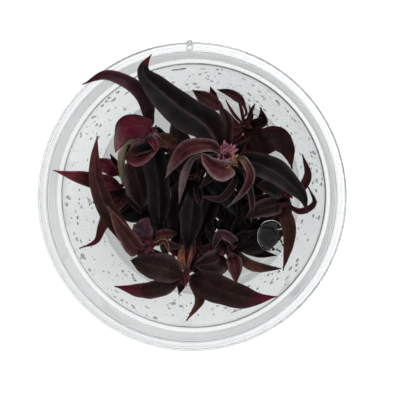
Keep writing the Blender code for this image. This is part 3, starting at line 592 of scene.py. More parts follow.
def noise_of(tree, where, scale, detail=3.0):
    inputs = {"Vector": where, "Scale": scale, "Detail": detail}
    return node(tree, "ShaderNodeTexNoise", inputs).outputs["Fac"]


def patchy(tree, where, scale, low, high, spread=0.2, detail=3.0):
    """Soft patches between a low and a high value; the smaller the spread, the harder their edges."""
    return ranged(tree, noise_of(tree, where, scale, detail), 0.5 - spread, 0.5 + spread, low, high)


def blended(tree, share, first, second, blend="MIX"):
    inputs = {0: share, 6: first, 7: second}
    return node(tree, "ShaderNodeMix", inputs, data_type="RGBA", blend_type=blend).outputs[2]


def tinted(tree, value):
    """The piece's own tones, made lighter or darker by a value."""
    tint = node(tree, "ShaderNodeAttribute", attribute_name="tint").outputs["Color"]
    grey = node(tree, "ShaderNodeCombineColor", {0: value, 1: value, 2: value}).outputs[0]
    return blended(tree, 1.0, tint, grey, "MULTIPLY")


def bumped(tree, strength, depth, height):
    """The surface's direction, roughened by a height pattern."""
    inputs = {"Strength": strength, "Distance": depth, "Height": height}
    return node(tree, "ShaderNodeBump", inputs).outputs[0]


def coordinates(tree, kind):
    return tree.nodes.new("ShaderNodeTexCoord").outputs[kind]


# Finishes

# Scales of the patterns on leaves, from the largest patches to the finest grain
VEIN_WOBBLE_SCALE = 300.0
MOTTLE_SCALE = 420.0
SATIN_SCALE = 900.0
SPECKLE_SCALE = 2600.0

# What a side vein multiplies its leaf's tone by, and where it has faded and is whole, off the midrib, as
# a share of the blade's width
VEIN_LIFT = (1.9, 1.8, 1.8, 1)
VEIN_FADE = (0.47, 0.36)


def leaf_finish(slot, roughness, vein_share, gloss):
    """Leaf skin: the leaf's own tones, mottled, with fine side veins and a satin surface."""
    material, tree, shader = new_finish(slot + "_skin")
    place = coordinates(tree, "Object")
    mottle = patchy(tree, place, MOTTLE_SCALE, 0.72, 1.3)
    speckle = patchy(tree, place, SPECKLE_SCALE, 0.85, 1.15, 0.15, 2.0)
    skin = tinted(tree, maths(tree, "MULTIPLY", mottle, speckle))
    where = node(tree, "ShaderNodeSeparateXYZ", {0: coordinates(tree, "UV")}).outputs
    off_rib = maths(tree, "ABSOLUTE", maths(tree, "SUBTRACT", where[0], 0.5))
    along = maths(tree, "SUBTRACT", maths(tree, "MULTIPLY", where[1], VEIN_PAIRS),
                  maths(tree, "MULTIPLY", off_rib, VEIN_SLANT))
    wobble = maths(tree, "MULTIPLY", noise_of(tree, place, VEIN_WOBBLE_SCALE), 0.5)
    beat = maths(tree, "COSINE", maths(tree, "MULTIPLY", maths(tree, "ADD", along, wobble), 2 * math.pi))
    vein = maths(tree, "MULTIPLY", ranged(tree, beat, 0.72, 1.0), ranged(tree, off_rib, *VEIN_FADE))
    paler = blended(tree, 1.0, skin, VEIN_LIFT, "MULTIPLY")
    relief = maths(tree, "SUBTRACT", maths(tree, "MULTIPLY", speckle, 0.25), vein)
    feed(tree, shader, {
        "Base Color": blended(tree, maths(tree, "MULTIPLY", vein, vein_share), skin, paler),
        "Roughness": patchy(tree, place, SATIN_SCALE, roughness - 0.06, roughness + 0.08),
        "Normal": bumped(tree, 0.25, 0.12 * MM, relief),
        "Specular IOR Level": gloss,
    })
    return material


def stem_finish(slot):
    """Stem skin: the stem's own tones with fine streaks along it."""
    material, tree, shader = new_finish(slot + "_skin")
    stretched = node(tree, "ShaderNodeMapping", {"Vector": coordinates(tree, "UV"), "Scale": (18, 3, 1)})
    darkest, palest = 0.65, 1.35
    streak = patchy(tree, stretched.outputs[0], 2.0, darkest, palest)
    feed(tree, shader, {
        "Base Color": tinted(tree, streak),
        "Roughness": ranged(tree, streak, darkest, palest, 0.5, 0.38),
        "Normal": bumped(tree, 0.3, 0.1 * MM, streak),
        "Specular IOR Level": 0.2,
    })
    return material


def absorb(tree, colour, density):
    """Fills a clear piece with colour that deepens with the length of light's way through it."""
    filling = node(tree, "ShaderNodeVolumeAbsorption", {"Color": (*colour, 1), "Density": density})
    tree.links.new(filling.outputs[0], tree.nodes["Material Output"].inputs["Volume"])


# The two small rings of the tear notch: how far their middle lies beyond the flange's radius, their
# radius, the radius of their round section, and their steps round the ring and round the section
TearRing = namedtuple("TearRing", "beyond radius section round across")
EYE = TearRing(-1.25 * MM, 0.85 * MM, 0.4 * MM, 40, 16)
STUD = TearRing(0.3 * MM, 0.6 * MM, 0.3 * MM, 32, 12)
TEAR_ANGLE = 91
FLANGE_DROP = 1.2 * MM

# How much of its full milkiness the cup has under the ledge, over it and at the flange
FROST_UNDER = 0.35
FROST_OVER = 0.65
FROST_FLANGE = 0.4

# The side towards which the misted lower wall grows darker, and where along it the darkening starts and is
# full
DARKER_SIDE = (0.87, 0.5, 0)
DARKENING_START = -25 * MM
DARKENING_FULL = 33 * MM

# Tones of the plastic above the ledge, of the misted wall on its lighter and its darker side, and of the tear
# rings
CLEAR_TONE = (0.95, 0.95, 0.95, 1)
LIGHTER_SIDE_MIST_TONE = (0.86, 0.87, 0.865, 1)
DARKER_SIDE_MIST_TONE = (0.65, 0.66, 0.66, 1)
# The grey of the tear rings is painted shade for the dark refraction at their edges
RING_SHADE_TONE = (0.62, 0.62, 0.62, 1)

PLASTIC_IOR = 1.49
DROP_IOR = 1.36
GEL_IOR = 1.34
WATER_IOR = 1.33


def tear_place(cup, beyond, lower=0):
    """A point at the tear notch, this far beyond the flange's radius and lower than the flange's top."""
    radius = cup.flange_radius + beyond
    angle = math.radians(TEAR_ANGLE)
    return Vector((radius * math.cos(angle), radius * math.sin(angle), cup.height - FLANGE_DROP - lower))


def cup_finish(cup):
    """Clear plastic: misted below the ledge, darker towards one side there, and frosted over it and at the
    skirt.
    """
    material, tree, shader = new_finish("clear_plastic")
    place = coordinates(tree, "Object")
    height = node(tree, "ShaderNodeSeparateXYZ", {0: place}).outputs[2]
    flat = node(tree, "ShaderNodeVectorMath", {0: place, 1: (1, 1, 0)}, operation="MULTIPLY").outputs[0]
    radius = measured(tree, "LENGTH", flat)
    ledge = cup.ledge_height
    damp = ranged(tree, height, ledge, ledge - 2 * MM)
    haze = maths(tree, "MULTIPLY", damp, patchy(tree, place, 90.0, 0.02, 0.07, 0.15))

    inside = ranged(tree, radius, cup.lip_radius + 1.6 * MM, cup.lip_radius + 1.1 * MM)
    under = ranged(tree, height, ledge - 3.5 * MM, ledge - 1 * MM, 0.0, cup.frost * FROST_UNDER)
    over = ranged(tree, height, ledge, ledge + 3 * MM, 0.0, cup.frost * FROST_OVER)
    flange = ranged(tree, inside, 0.0, 1.0, cup.frost * FROST_FLANGE, 0.0)
    frost = maths(tree, "ADD", maths(tree, "MULTIPLY", inside, maths(tree, "ADD", under, over)), flange)

    # The tear rings get a grey tone: painted shade for their dark refraction
    rings = 0.0
    for ring in (EYE, STUD):
        away = measured(tree, "DISTANCE", place, tear_place(cup, ring.beyond))
        reach = ring.radius + ring.section
        rings = maths(tree, "MAXIMUM", rings, ranged(tree, away, reach + 0.1 * MM, reach))

    darkening = ranged(tree, measured(tree, "DOT_PRODUCT", place, DARKER_SIDE), DARKENING_START, DARKENING_FULL)
    off_base = ranged(tree, radius, cup.base_radius - 0.5 * MM, cup.base_radius + 1.5 * MM)
    grain = patchy(tree, place, 520.0, 0.8, 1.1, 0.15)
    darkening = maths(tree, "MULTIPLY", maths(tree, "MULTIPLY", darkening, off_base), grain)
    wall = blended(tree, damp, CLEAR_TONE, blended(tree, darkening, LIGHTER_SIDE_MIST_TONE, DARKER_SIDE_MIST_TONE))
    feed(tree, shader, {
        "Base Color": blended(tree, rings, wall, RING_SHADE_TONE),
        "Roughness": maths(tree, "ADD", haze, 0.02),
        "Normal": bumped(tree, 0.12, 0.1 * MM, noise_of(tree, place, 700.0)),
        "Transmission Weight": maths(tree, "SUBTRACT", 1.0, frost),
        "IOR": PLASTIC_IOR,
    })
    absorb(tree, cup.tint, cup.density)
    return material


def wet_finish(name, tint, ior, ripple, gloss=0.5):
    """Clear wet gel or water."""
    material, tree, shader = new_finish(name)
    place = coordinates(tree, "Object")
    feed(tree, shader, {
        "Base Color": (*tint, 1),
        "Roughness": patchy(tree, place, 500.0, 0.0, 0.02),
        "Normal": bumped(tree, ripple, 0.3 * MM, noise_of(tree, place, 160.0)),
        "Transmission Weight": 1.0,
        "IOR": ior,
        "Specular IOR Level": gloss,
    })
    return material


# Routes of stems and leaves, the same as in the model's own source. A leaf starts at a share of the
# stem's radius off the stem's axis.
FOOT_DEPTH = 8.7 * MM
FOOT_RISE = 2 * MM
ROUTE_STEPS = 24
PETIOLE_WIDTH = 1.7 * MM
TIP_WIDTH = 0.4 * MM
OUTLINE_SHARPNESS = 2.1
SKIN_SHARE = 0.6
AXIL_REACH = 2.4 * MM
AXIL_RISE = 0.7 * MM

# Fine form of blades
BLADE_ACROSS = 12
SMALL_ACROSS = 8
YOUNG_ACROSS = 6
BLADE_STEP = 0.6 * MM
COLUMN_CROWDING = 1.35
RIB_WIDTH = 0.42 * MM
RIB_SOFTNESS = 0.3 * MM
VEIN_PAIRS = 9.0
VEIN_SLANT = 3.4
WAVES = 3.2
TWIST = 26
EDGE_CHANGE = 0.16
FOLD_CHANGE = 0.9
SMALL_FOOT = 0.7 * MM
YOUNG_FOOT = 0.5 * MM
STALK_WIDTH = 1.1 * MM
PUCKER = 0.3 * MM
PUCKER_SCALE = 260.0
FULL_RELIEF = 2 * MM

# How fast a blade's twist, edge and fold change along it
TWIST_RATE = 3
EDGE_RATE = 5
FOLD_RATE = 2.5

# Shares of a blade's length between which its base tone ends, and where its tip tone is full, and
# shares of its half width, from its edge and from its midrib, between which midrib and edge pale
BASE_FADE = (0.05, 0.4)
TIP_FULL = 0.96
RIB_FADE = (0.86, 1.0)
RIM_FADE = (0.62, 0.98)


def blend_route(before, start, end, after, share):
    """A point of the smooth curve between start and end."""
    pull_start = (end - before) / 2
    pull_end = (after - start) / 2
    s = share
    return ((2 * s**3 - 3 * s**2 + 1) * start + (s**3 - 2 * s**2 + s) * pull_start
            + (3 * s**2 - 2 * s**3) * end + (s**3 - s**2) * pull_end)


def smooth_route(points, count):
    """Evenly spaced points, one more than count, on a smooth curve through the given ones."""
    ends = [2 * points[0] - points[1], *points, 2 * points[-1] - points[-2]]
    fine = []
    for before, start, end, after in zip(ends, ends[1:], ends[2:], ends[3:]):
        fine += [blend_route(before, start, end, after, step / ROUTE_STEPS) for step in range(ROUTE_STEPS)]
    fine.append(points[-1])
    lengths = [0.0]
    for start, end in zip(fine, fine[1:]):
        lengths.append(lengths[-1] + (end - start).length)
    even = []
    piece = 0
    for step in range(count + 1):
        target = lengths[-1] * step / count
        while piece < len(fine) - 2 and lengths[piece + 1] < target:
            piece += 1
        share = (target - lengths[piece]) / (lengths[piece + 1] - lengths[piece])
        even.append(fine[piece].lerp(fine[piece + 1], share))
    return even


def stem_route(plantlet, steps):
    """The stem's axis, from its foot in the gel to its tip."""
    foot = Vector((*plantlet.foot, 0)) * MM
    start = foot + UP * (GEL_HIGH.z - FOOT_DEPTH)
    surface = foot + UP * (GEL_HIGH.z + FOOT_RISE)
    return [start, *smooth_route([surface, *(Vector(point) * MM for point in plantlet.route)], steps)]


def bearer_of(leaf):
    """The plantlet that carries a leaf, a row of pairs or a shoot."""
    return next(plantlet for plantlet in PLANTLETS if plantlet.name == leaf.plantlet)


def place_on_stem(plantlet, height):
    """The point of the stem's axis at a height, and the stem's direction there."""
    route = stem_route(plantlet, 8)
    for low, high in zip(route, route[1:]):
        if high.z >= height:
            break
    share = min(1, (height - low.z) / (high.z - low.z))
    return low.lerp(high, share), (high - low).normalized()


def leaf_spine(leaf):
    """The leaf's midrib from inside the stem's skin to the leaf's tip, in steps of about one length."""
    plantlet = bearer_of(leaf)
    axis, growth = place_on_stem(plantlet, leaf.height * MM)
    route = [Vector(point) * MM for point in leaf.route]
    away = route[0] - axis
    outward = (away - growth * away.dot(growth)).normalized()
    start = axis + outward * plantlet.radius * MM * SKIN_SHARE
    axil = start + outward * AXIL_REACH + growth * AXIL_RISE
    coarse = smooth_route([start, axil, *route], 20)
    length = sum((b - a).length for a, b in zip(coarse, coarse[1:]))
    return smooth_route([start, axil, *route], max(16, round(length / BLADE_STEP)))


def leaf_frames(spine):
    """A forward and a side direction for each point, level at the middle, never twisting."""
    ends = [spine[0], *spine, spine[-1]]
    along = [(after - before).normalized() for before, after in zip(ends, ends[2:])]
    middle = len(spine) // 2
    sides = {middle: along[middle].cross(UP).normalized()}
    for step in (1, -1):
        index = middle + step
        while 0 <= index < len(spine):
            side = sides[index - step]
            sides[index] = (side - along[index] * side.dot(along[index])).normalized()
            index += step
    return [(along[index], sides[index]) for index in range(len(spine))]


def outline(width, widest, share, foot, stalk):
    """Width of a leaf at a share of its length: a stalk, a lance-shaped blade and a fine tip."""
    rise = OUTLINE_SHARPNESS * widest
    fall = OUTLINE_SHARPNESS * (1 - widest)
    out = max(0, share - stalk) / (1 - stalk)
    form = (out / widest) ** rise * ((1 - out) / (1 - widest)) ** fall
    thin = foot + (TIP_WIDTH - foot) * share
    return max(width * form, min(thin, width))


def eased(share, low, high):
    """0 below low, 1 above high, and smooth between."""
    share = min(1, max(0, (share - low) / (high - low)))
    return share * share * (3 - 2 * share)


def add_grid(name, across, along):
    """A square grid with x and y from -1 to 1, to be laid along a route."""
    deselect_all()
    bpy.ops.mesh.primitive_grid_add(x_subdivisions=across, y_subdivisions=along, size=2, calc_uvs=True)
    return named(bpy.context.object, name)


def paint(item, colours):
    layer = item.data.color_attributes.new("tint", "FLOAT_COLOR", "POINT")
    layer.data.foreach_set("color", [part for colour in colours for part in (*colour, 1)])


def blade_tint(plants, looks, share, across):
    """The tone of a blade at a share of its length and a share of its half width."""
    base, middle, tip, rim, pale = (Vector(getattr(plants, name)) for name in (
        looks.base, looks.middle, looks.tip, looks.rim, "mauve"))
    colour = base.lerp(middle, eased(share, *BASE_FADE)).lerp(tip, eased(share, looks.tip_from, TIP_FULL))
    rib = eased(1 - across, *RIB_FADE) * looks.rib * (1 - 0.8 * share)
    # The edges take the rim tone: partly the leaf's own margin, partly painted highlight
    return colour.lerp(pale, rib).lerp(rim, eased(across, *RIM_FADE) * looks.edge)


def add_blade(name, spine, width, widest, fold, roll, looks, plants, across=BLADE_ACROSS,
              foot=PETIOLE_WIDTH, stalk=0):
    """A leaf blade laid along its spine, folded at the midrib, with veins and a wavy edge."""
    count = len(spine) - 1
    frames = leaf_frames(spine)
    item = add_grid(name, across, count)
    chance = random.Random(name)
    start = chance.uniform(0, 100)
    phases = {side: chance.uniform(0, 1) for side in (-1, 1)}
    colours = []
    for vert in item.data.vertices:
        hand = 1 if vert.co.x >= 0 else -1
        out = abs(vert.co.x) ** COLUMN_CROWDING
        share = (vert.co.y + 1) / 2
        index = round(share * count)
        drift = noise.noise(Vector((start, TWIST_RATE * share, 0)))
        along, side = frames[index]
        side = Matrix.Rotation(math.radians(roll + TWIST * drift * share), 3, along) @ side
        normal = side.cross(along)
        half = outline(width, widest, share, foot, stalk) / 2
        half *= 1 + EDGE_CHANGE * noise.noise(Vector((start, EDGE_RATE * share, 7 * hand)))
        reach = out * half
        relief = min(1, half / FULL_RELIEF)
        drape = FOLD_CHANGE * noise.noise(Vector((start, FOLD_RATE * share, 3)))
        bend = math.radians(fold * (1 + drape))
        rise = (math.hypot(reach, RIB_SOFTNESS) - RIB_SOFTNESS) * math.sin(bend)
        rise -= plants.rib_depth * math.exp(-(reach / RIB_WIDTH) ** 2) * (1 - 0.6 * share)
        beat = math.cos(2 * math.pi * (share * VEIN_PAIRS - out / 2 * VEIN_SLANT))
        rise -= plants.vein_depth * max(0, beat) ** 3 * (1 - out) * relief
        swing = math.sin(2 * math.pi * (WAVES * share + phases[hand] + drift))
        rise += looks.wave * MM * out ** 2 * swing * relief
        place = spine[index] + side * hand * reach * math.cos(bend) + normal * rise
        place += normal * PUCKER * noise.noise(place * PUCKER_SCALE) * relief
        colours.append(blade_tint(plants, looks, share, out))
        vert.co = place
    paint(item, colours)
    add_finished(item, "SOLIDIFY", thickness=plants.thickness, offset=0)
    smooth(item, 55)
    return item


# Sizes of the cup that aren't settings
FLOOR = 1.0 * MM
HALF_BASE = 20 * MM
CORNER = 0.55 * MM
SKIRT_FLARE = 0.6 * MM
SKIRT_DEPTH = 2.8 * MM
FLANGE_PLATE = 1.0 * MM
DRAFT = 0.15 * MM

# The lug and the hole of the tear notch
LUG_BEYOND = 0.35 * MM
LUG_LOWER = 1.6 * MM
LUG_SIZE = Vector((1.8, 2.9, 0.6)) * MM
EYE_HOLE = 0.5 * MM


# Operators

def cup_profile(cup):
    """Half section of the cup: up the inside, over lip and flange, down the outside, under the base."""
    wall = cup.wall
    top = cup.height
    flange_top = top - FLANGE_DROP
    plate_low = flange_top - FLANGE_PLATE
    skirt_low = flange_top - SKIRT_DEPTH
    outer_lip = cup.lip_radius + wall
    edge = cup.flange_radius + SKIRT_FLARE
    rib_inner = cup.flange_radius - 1.6 * MM
    rib_outer = cup.flange_radius - 1.0 * MM
    rib_top = flange_top + 0.3 * MM
    return rounded((
        (HALF_BASE, FLOOR),
        (cup.base_radius - wall, FLOOR),
        (cup.ledge_inner, cup.ledge_height),
        (cup.ledge_outer, cup.ledge_height + 0.3 * MM),
        (cup.lip_radius, top),
        (outer_lip, top - 0.05 * MM),
        (outer_lip + DRAFT, flange_top),
        (rib_inner, flange_top),
        (rib_inner + DRAFT, rib_top),
        (rib_outer - DRAFT, rib_top),
        (rib_outer, flange_top),
        (edge, flange_top - DRAFT),
        (edge, skirt_low),
        (edge - 0.5 * MM, skirt_low),
        (edge - 0.6 * MM, plate_low),
        (outer_lip, plate_low),
        (cup.ledge_outer + wall, cup.ledge_height),
        (cup.ledge_inner + wall, cup.ledge_height - wall),
        (cup.base_radius + 0.2 * MM, 0),
        (HALF_BASE, 0),
    ), CORNER)


def add_tear_ring(cup, settings, ring):
    """Moulds a ring of the tear notch onto the cup."""
    deselect_all()
    bpy.ops.mesh.primitive_torus_add(major_segments=ring.round, minor_segments=ring.across,
                                     major_radius=ring.radius, minor_radius=ring.section,
                                     location=tear_place(settings, ring.beyond))
    combine(cup, bpy.context.object, "UNION")


class PLANTLETS_OT_add_cup(bpy.types.Operator):
    """Turn the clear cup and add the rings and the lug of its tear notch."""

    bl_idname = "plantlets.add_cup"
    bl_label = "Add Cup"

    def execute(self, context):
        settings = context.scene.plantlet_cup
        cup = add_turned("clear_cup", cup_profile(settings), settings.sides)
        add_tear_ring(cup, settings, EYE)
        deselect_all()
        bpy.ops.mesh.primitive_cube_add(size=1, location=tear_place(settings, LUG_BEYOND, LUG_LOWER),
                                        rotation=(0, 0, math.radians(TEAR_ANGLE)))
        lug = bpy.context.object
        lug.scale = LUG_SIZE
        put_place_in_mesh(lug)
        add_finished(lug, "BEVEL", width=0.2 * MM, segments=2)
        combine(cup, lug, "UNION")
        add_tear_ring(cup, settings, STUD)
        deselect_all()
        bpy.ops.mesh.primitive_cylinder_add(vertices=28, radius=EYE_HOLE, depth=6 * MM,
                                            location=tear_place(settings, EYE.beyond))
        combine(cup, bpy.context.object, "DIFFERENCE")
        smooth(cup, 50)
        dress(cup, cup_finish(settings), "cup", "cup")
        return {"FINISHED"}


def inner_wall_radius(cup, height):
    """Radius of the cup's tapering inner wall at a height."""
    share = (height - FLOOR) / (cup.ledge_height - FLOOR)
    return cup.base_radius - cup.wall + share * (cup.ledge_inner - cup.base_radius + cup.wall)


# The gel: its gap to the wall, and the width and the steps of its raised rim
GEL_GAP = 0.12 * MM
GEL_RIM = 1.6 * MM
RIM_STEPS = 8


class PLANTLETS_OT_add_gel(bpy.types.Operator):
    """Turn the block of clear growing gel, which climbs a little at the wall."""

    bl_idname = "plantlets.add_gel"
    bl_label = "Add Gel"

    def execute(self, context):
        cup = context.scene.plantlet_cup
        settings = context.scene.plantlet_gel
        edge = inner_wall_radius(cup, GEL_HIGH.z) - GEL_GAP
        middle = edge * 0.5
        surface = GEL_HIGH.z - settings.climb
        profile = [(middle, surface)]
        for step in range(RIM_STEPS + 1):
            share = step / RIM_STEPS
            profile.append((edge - GEL_RIM * (1 - share), surface + settings.climb * share**2.6))
        bottom = GEL_LOW.z
        shoulder = bottom + 0.3 * MM
        profile += [(inner_wall_radius(cup, shoulder) - GEL_GAP, shoulder),
                    (inner_wall_radius(cup, bottom) - 0.4 * MM, bottom), (middle, bottom)]
        gel = add_turned("clear_gel", profile, cup.sides)
        smooth(gel, 35)
        dress(gel, wet_finish("wet_gel", settings.tint, GEL_IOR, 0.08), "gel", "gel")
        return {"FINISHED"}


# The drop's lumps, how far they swell it, and how far down it is whole as a share of its half height
LUMP_SCALE = 150.0
LUMP_SWELL = 0.1
DROP_FLAT = 0.5


class PLANTLETS_OT_add_gel_drop(bpy.types.Operator):
    """Add the clear drop of gel that lies between the leaves on the east side."""

    bl_idname = "plantlets.add_gel_drop"
    bl_label = "Add Gel Drop"

    def execute(self, context):
        settings = context.scene.plantlet_gel
        middle = (DROP_LOW + DROP_HIGH) / 2 + Vector(settings.drop_shift)
        size = (DROP_HIGH - DROP_LOW) / 2 * Vector(settings.drop_spread)
        deselect_all()
        bpy.ops.mesh.primitive_uv_sphere_add(segments=64, ring_count=40, radius=1, location=middle)
        drop = named(bpy.context.object, "clear_drop")
        drop.scale = size
        put_place_in_mesh(drop)
        for vert in drop.data.vertices:
            swell = noise.noise(vert.co * LUMP_SCALE) * LUMP_SWELL
            vert.co = middle + (vert.co - middle) * (1 + swell)
            vert.co.z = max(vert.co.z, middle.z - size.z * DROP_FLAT)
        smooth(drop, 60)
        dress(drop, wet_finish("wet_drop", settings.tint, DROP_IOR, 0.01, 0.3), "gel_drop", "gel_drop")
        return {"FINISHED"}


STEM_SIDES = 16
STEM_FINE_STEPS = 70
STEM_GROOVES = 0.05
STEM_TAPER = 0.12
NODE_SWELL = 0.16

# How far the closed tip of a stem reaches past its route, ring by ring, in mm
TIP_RINGS = (0.8, 1.6, 2.3, 2.8)

# A stem swells at this many of its leaves, the first in the list
SWOLLEN_NODES = 6

# The tones of a stem's foot and of its tip
STEM_TONES = {"stem_brown": ("brown", "maroon"), "stem_tan": ("tan", "mauve")}


def add_stalk(plantlet, plants):
    """A stem: a grid rolled up round its route, with swollen nodes and a closed, pointed tip."""
    route = stem_route(plantlet, STEM_FINE_STEPS)
    onward = (route[-1] - route[-2]).normalized()
    route += [route[-1] + onward * step * MM for step in TIP_RINGS]
    count = len(route) - 1
    frames = leaf_frames(route)
    stalk = add_grid("stalk_" + plantlet.name, STEM_SIDES, count)
    joints = [leaf.height * MM for leaf in LEAVES if leaf.plantlet == plantlet.name][:SWOLLEN_NODES]
    low_tone, high_tone = (Vector(getattr(plants, name)) for name in STEM_TONES[plantlet.slot])
    colours = []
    for vert in stalk.data.vertices:
        share = (vert.co.y + 1) / 2
        index = round(share * count)
        along, side = frames[index]
        angle = vert.co.x * math.pi
        point = route[index]
        swell = sum(math.exp(-((point.z - height) / MM) ** 2) for height in joints)
        radius = plantlet.radius * MM * (0.98 - STEM_TAPER * share + NODE_SWELL * min(1, swell))
        radius *= 1 + STEM_GROOVES * math.cos(5 * angle)
        radius *= math.sin(min(1, (count - index) / len(TIP_RINGS)) * math.pi / 2)
        if index == 0:
            radius = 0
        direction = Matrix.Rotation(angle, 3, along) @ side
        vert.co = point + direction * radius
        colours.append(low_tone.lerp(high_tone, eased(share, 0.55, 1.0)))
    paint(stalk, colours)
    take(stalk)
    bpy.ops.object.mode_set(mode="EDIT")
    bpy.ops.mesh.select_all(action="SELECT")
    bpy.ops.mesh.remove_doubles(threshold=0.00001)
    bpy.ops.mesh.normals_make_consistent(inside=False)
    bpy.ops.object.mode_set(mode="OBJECT")
    smooth(stalk, 60)
    return stalk


class PLANTLETS_OT_add_stems(bpy.types.Operator):
    """Add the stem of each plantlet, from its foot in the gel to its shoot tip."""

    bl_idname = "plantlets.add_stems"
    bl_label = "Add Stems"

    def execute(self, context):
        plants = context.scene.plantlet_plants
        finishes = {slot: stem_finish(slot) for slot in STEM_TONES}
        for plantlet in PLANTLETS:
            stalk = add_stalk(plantlet, plants)
            dress(stalk, finishes[plantlet.slot], plantlet.slot, "stem_" + plantlet.name)
        return {"FINISHED"}


# Roughness of each slot's leaves, how much their side veins pale, and their gloss
LEAF_SKINS = {
    DARK: (0.38, 0.28, 0.065),
    MAROON: (0.40, 0.35, 0.06),
    RED: (0.32, 0.35, 0.075),
    PINK: (0.4, 0.4, 0.12),
    BROWN: (0.45, 0.4, 0.065),
}


def leaf_finishes():
    """One finish for each slot, shared by its leaves."""
    return {slot: bpy.data.materials.get(slot + "_skin") or leaf_finish(slot, *values)
            for slot, values in LEAF_SKINS.items()}


class PLANTLETS_OT_add_leaves(bpy.types.Operator):
    """Add every grown leaf along its route from its stem."""

    bl_idname = "plantlets.add_leaves"
    bl_label = "Add Leaves"

    def execute(self, context):
        plants = context.scene.plantlet_plants
        finishes = leaf_finishes()
        for leaf in LEAVES:
            name = "%s_%s" % (leaf.plantlet, leaf.name)
            blade = add_blade("blade_" + name, leaf_spine(leaf), leaf.width * MM, leaf.widest, leaf.fold,
                              leaf.roll, leaf.looks, plants,
                              foot=STALK_WIDTH if leaf.stalk else PETIOLE_WIDTH, stalk=leaf.stalk)
            dress(blade, finishes[leaf.slot], leaf.slot, "leaf_" + name)
        return {"FINISHED"}


def seen_place(across, down, height):
    """The point at this height that the photograph shows at this pixel."""
    camera = bpy.context.scene.plantlet_stage
    lip_distance = camera.camera_height - CUP_LOW.z - LIP_HEIGHT
    pixel = LIP_PIXEL * MM * (camera.camera_height - height * MM) / lip_distance
    return Vector((camera.camera_x + (across - PHOTO_NADIR_X) * pixel,
                   camera.camera_y - (down - PHOTO_NADIR_Y) * pixel, height * MM))


class PLANTLETS_OT_add_small_leaves(bpy.types.Operator):
    """Add the small single leaves and stalks that the photograph shows between the large ones."""

    bl_idname = "plantlets.add_small_leaves"
    bl_label = "Add Small Leaves"

    def execute(self, context):
        plants = context.scene.plantlet_plants
        finishes = leaf_finishes()
        groups = {}
        for index, leaf in enumerate(SMALL_LEAVES):
            looks, slot = leaf.kind
            route = [seen_place(*point) for point in leaf.seen]
            axis = min(stem_route(bearer_of(leaf), 40), key=lambda point: (point - route[0]).length)
            blade = add_blade("small_%d" % index, smooth_route([axis, *route], 22), leaf.width * MM, 0.55,
                              leaf.fold, 0, looks, plants, across=SMALL_ACROSS, foot=SMALL_FOOT)
            groups.setdefault((leaf.plantlet, slot), []).append(blade)
        for (bearer, slot), blades in groups.items():
            group = "small_leaves_%s_%s" % (bearer, slot.removeprefix("leaf_"))
            dress(join(blades, group), finishes[slot], slot)
        return {"FINISHED"}


# Random ranges of the pairs: how far each turns from right across the last, and each leaf's share of
# the row's length, rise, droop, width as a share of its length, and roll in degrees
PAIR_TURN = (-0.35, 0.35)
PAIR_LENGTH = (0.75, 1.2)
PAIR_LIFT = (0.35, 0.95)
PAIR_DROOP = (-0.1, 0.3)
PAIR_WIDTH = (0.26, 0.36)
PAIR_ROLL = (-25, 25)
PAIR_FOLD = 22
WALL_GAP = 1.5 * MM


def pair_leaf_route(cup, plantlet, axis, away, length, chance):
    """One leaf of a pair: it rises from its node, droops towards its tip and stays clear of the wall."""
    lift = chance.uniform(*PAIR_LIFT)
    droop = chance.uniform(*PAIR_DROOP)
    middle = axis + away * length * 0.5 + UP * length * lift * 0.45
    end = axis + away * length + UP * length * (lift * 0.75 - droop)
    room = inner_wall_radius(cup, max(end.z, 2 * MM)) - WALL_GAP
    flat = math.hypot(end.x, end.y)
    if flat > room:
        end.x *= room / flat
        end.y *= room / flat
        end.z += (flat - room) * 0.8
    return smooth_route([axis + away * plantlet.radius * MM * 0.5, middle, end], 16)


class PLANTLETS_OT_add_leaf_pairs(bpy.types.Operator):
    """Add the small opposite leaves that each stem carries at its nodes, each pair across the last."""

    bl_idname = "plantlets.add_leaf_pairs"
    bl_label = "Add Leaf Pairs"

    def execute(self, context):
        plants = context.scene.plantlet_plants
        cup = context.scene.plantlet_cup
        finishes = leaf_finishes()
        for row in PAIRS:
            plantlet = bearer_of(row)
            chance = random.Random(row.seed)
            blades = []
            for index in range(row.pairs):
                height = row.low + (row.high - row.low) * index / max(1, row.pairs - 1)
                axis = place_on_stem(plantlet, height * MM)[0]
                turn = index * math.radians(90) + chance.uniform(*PAIR_TURN) + row.seed
                for hand in (0, math.pi):
                    away = Vector((math.cos(turn + hand), math.sin(turn + hand), 0))
                    length = row.length * MM * chance.uniform(*PAIR_LENGTH)
                    route = pair_leaf_route(cup, plantlet, axis, away, length, chance)
                    tip = chance.choice(("maroon", "dark", "dark"))
                    width = length * chance.uniform(*PAIR_WIDTH)
                    roll = chance.uniform(*PAIR_ROLL)
                    blades.append(add_blade("pair_%s_%d" % (row.plantlet, len(blades)), route, width, 0.5,
                                            PAIR_FOLD, roll, Looks(row.tone, row.tone, tip), plants,
                                            across=SMALL_ACROSS, foot=SMALL_FOOT))
            dress(join(blades, "leaf_pairs_" + row.plantlet), finishes[row.slot], row.slot)
        return {"FINISHED"}


# How far a shoot's outermost leaves lean out, how much less its innermost do, and by how much a lean
# varies, in degrees; the fold of the leaves; and the random ranges of their shares of length and width
YOUNG_LEAN = 66
INNER_LEAN = 50
LEAN_CHANGE = 14
YOUNG_FOLD = 34
YOUNG_SIZE = (0.7, 1.2)


